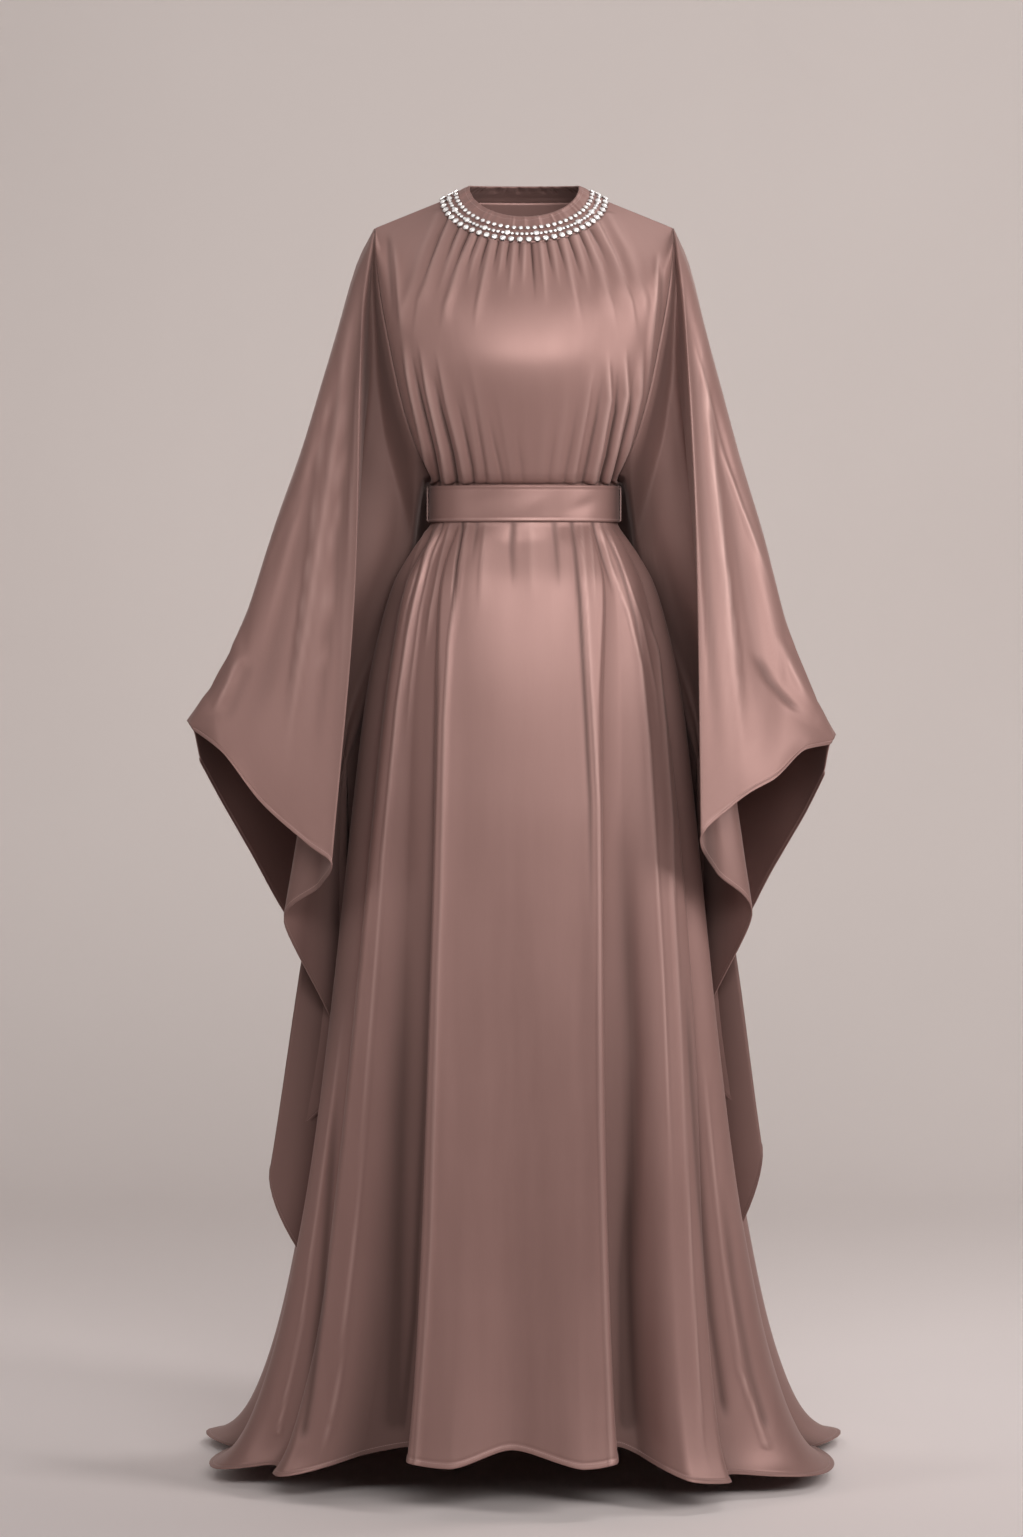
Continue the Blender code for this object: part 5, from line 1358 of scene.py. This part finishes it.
def paper_material():
    """Pale paper with faint clouds, and a painted pool of light that makes it lighter on the floor in front.
    """
    made = plain_material("paper", PAPER_DEEP, PAPER_LIGHT, PAPER_ROUGHNESS, PAPER_GRAIN)
    tree = made.node_tree
    shader = tree.nodes["Principled BSDF"]
    wall = shader.inputs["Base Color"].links[0].from_socket
    # Painted light: the paper is lighter on the floor in front, fading towards the wall.
    parts = node(tree, "ShaderNodeSeparateXYZ")
    tree.links.new(node(tree, "ShaderNodeTexCoord").outputs["Object"], parts.inputs[0])
    rise = node(tree, "ShaderNodeMapRange")
    for socket, value in zip(("From Min", "From Max", "To Min", "To Max"), (*PAPER_TURN, 1.0, 0.0)):
        rise.inputs[socket].default_value = value
    tree.links.new(parts.outputs["Y"], rise.inputs["Value"])
    tree.links.new(mix_colour(tree, rise.outputs["Result"], wall, PAPER_FLOOR_PAINTED_LIGHT), shader.inputs["Base Color"])
    return made


def loop_points(side):
    """A cord of two twisted strands that passes over the belt at the side and turns in at both ends."""
    _, half_width, _, centre_y = SKIRT_FORM[-1]
    walk = np.linspace(0.0, 1.0, LOOP_ROWS + 1)[:, None]
    turn = around(LOOP_COLUMNS)[None, :]
    height = BELT_TOP + LOOP_OVER + (BELT_BOTTOM - BELT_TOP - LOOP_LONGER) * walk
    inward = LOOP_TURN * fade(np.abs(walk - 0.5), *LOOP_TURNS)
    lobes = np.abs(np.cos(turn - walk * 2 * math.pi * LOOP_TWISTS))
    start, end = LOOP_CLOSED
    closed = fade(walk, 0.0, start) * (1 - fade(walk, end, 1.0))
    radius = (LOOP_CORE + LOOP_STRAND * lobes) * closed
    x = half_width + WALL / 2 + BELT_CLEAR + LOOP_STAND - inward + radius * np.cos(turn)
    y = centre_y + radius * np.sin(turn)
    return np.stack((side * x, y, height + 0 * turn), axis=-1)


def add_cloth(name, shape, finish, slot="satin", wall=WALL, joined=False, hem="foot", **said):
    """A panel of cloth that stands for the solid of its name; the keywords said of it are not used. Its shape
    is its points and, where they are known, its painted shade deep in its folds and the painted light of its
    creases."""
    mesh = sheet_mesh(name + "_cloth", *shape, joined=joined, hem=hem)
    add_piece(name + "_cloth", mesh, finish, [name], wall)


def make_garment():
    """Every piece of the garment: its cloth, thread loops and stones."""
    satin = satin_material("satin", SATIN_LIGHT, SATIN_DEEP, *SATIN_FINISH)
    belt_satin = satin_material("belt satin", SATIN_LIGHT, SATIN_DEEP, *BELT_FINISH)
    thread = plain_material("loop thread", THREAD_DEEP, THREAD, THREAD_ROUGHNESS, THREAD_GRAIN)
    stone = stone_material()
    setting = setting_material()

    creases = (in_metres(NECK_CREASES), in_metres(BELT_CREASES))
    shape = bodice_points(FRONT_BODICE_ROWS, creases, False, BODICE_COLUMNS, BODICE_STEPS)
    add_cloth("bodice_front", shape, satin, hem=None, flat=(0.52, 0.36), area=0.14, held="gathered")
    shape = bodice_points(BACK_BODICE_ROWS, creases, True, BODICE_BACK_COLUMNS, BODICE_BACK_STEPS)
    add_cloth("bodice_back", shape, satin, hem=None, flat=(0.50, 0.38), area=0.15, held="gathered")

    creases = in_metres(SKIRT_CREASES)
    shape = skirt_points(FRONT_FOLDS, creases, SKIRT_FRONT_COLUMNS, WAIST_ROWS, HANG_ROWS)
    add_cloth("skirt_front", shape, satin, flat=(1.45, 1.16), area=1.04, held="hung")
    shape = skirt_points(BACK_FOLDS, creases, SKIRT_BACK_COLUMNS, BACK_WAIST_ROWS, BACK_HANG_ROWS)
    add_cloth("skirt_back", shape, satin, flat=(1.55, 1.24), area=1.12, held="hung")

    for name, side in (("sleeve_left", -1), ("sleeve_right", 1)):
        shape = sleeve_points(side, SLEEVE_COLUMNS_PER_LINE, SLEEVE_ROWS)
        add_cloth(name, shape, satin, joined=True, flat=(1.20, 0.95), area=0.62, held="hung")

    shape = (neckband_points(BAND_COLUMNS, BAND_ROWS),)
    add_cloth("neckband", shape, satin, joined=True, hem="top", flat=(0.60, 0.036), area=0.021,
              held="gathered")

    points = belt_points(BELT_COLUMNS, BELT_ROWS)
    turn = np.degrees(np.arctan2(points[..., 0], -points[..., 1]))
    shade = BELT_END_SHADE * np.exp(-(((np.abs(turn) - 90.0) / BELT_END_REACH) ** 2))
    add_cloth("belt", (points, shade), belt_satin, "belt_satin", BELT_WALL, joined=True, flat=(0.63, 0.042),
              held="draped")

    for name, side in (("belt_loop_left", -1), ("belt_loop_right", 1)):
        cord = sheet_mesh(name + "_thread", loop_points(side), joined=True, hem=None)
        add_piece(name + "_thread", cord, thread, [name])

    for name, solid, ring, pitch, diameter, large_every, large in STONE_ROWS:
        mesh = stone_row(name, ring, pitch, diameter, large_every, large)
        add_piece(name, mesh, stone, [solid])
        mesh.materials.append(setting)


def area_light(name, at, aim, wide, high, power, colour, spread):
    light = bpy.data.lights.new(name, "AREA")
    light.shape = "RECTANGLE"
    light.size = wide
    light.size_y = high
    light.energy = power
    light.color = colour
    light.spread = math.radians(spread)
    lamp = linked(name, light)
    lamp.location = at
    lamp.rotation_euler = (Vector(aim) - Vector(at)).to_track_quat("-Z", "Y").to_euler()


def make_studio():
    """A pale floor that sweeps up behind into the backdrop, soft lights and the camera."""
    floor = -HELD_HEIGHT - FLOOR_CLEAR
    sweep = bmesh.new()
    bmesh.ops.create_grid(sweep, x_segments=2, y_segments=SWEEP_ROWS, size=1.0)
    for vertex in sweep.verts:
        walk = (vertex.co.y + 1) / 2
        turn = min(max((walk - SWEEP_FLOOR) / SWEEP_BEND_SHARE, 0.0), 1.0) * math.pi / 2
        flat = min(walk, SWEEP_FLOOR) / SWEEP_FLOOR
        rise = max(walk - SWEEP_WALL, 0.0) / SWEEP_WALL_SHARE
        y = SWEEP_FRONT + SWEEP_LENGTH * flat + SWEEP_RADIUS * math.sin(turn)
        z = floor + SWEEP_RADIUS * (1 - math.cos(turn)) + SWEEP_RISE * rise
        vertex.co = (vertex.co.x * SWEEP_HALF_WIDTH, y, z)
    mesh = mesh_of("sweep", sweep)
    mesh.shade_smooth()
    backdrop = linked("sweep", mesh)
    mesh.materials.append(paper_material())

    for row in LIGHTS:
        area_light(*row)

    world = bpy.data.worlds.new("studio")
    world.use_nodes = True
    back = world.node_tree.nodes["Background"]
    back.inputs["Color"].default_value = WORLD_COLOUR
    back.inputs["Strength"].default_value = WORLD_STRENGTH
    bpy.context.scene.world = world

    camera = bpy.data.cameras.new("camera")
    camera.sensor_fit = "VERTICAL"
    camera.sensor_height = SENSOR_HEIGHT
    camera.lens = SENSOR_HEIGHT * CAMERA_DISTANCE / SEEN_HEIGHT
    holder = linked("camera", camera)
    holder.location = (CAMERA_X, -CAMERA_DISTANCE, CAMERA_HEIGHT - HELD_HEIGHT)
    aim = Vector((CAMERA_X, 0.0, AIM_HEIGHT - HELD_HEIGHT))
    holder.rotation_euler = (aim - holder.location).to_track_quat("-Z", "Y").to_euler()
    bpy.context.scene.camera = holder
    bpy.context.scene.view_settings.view_transform = "Standard"


make_garment()
make_studio()
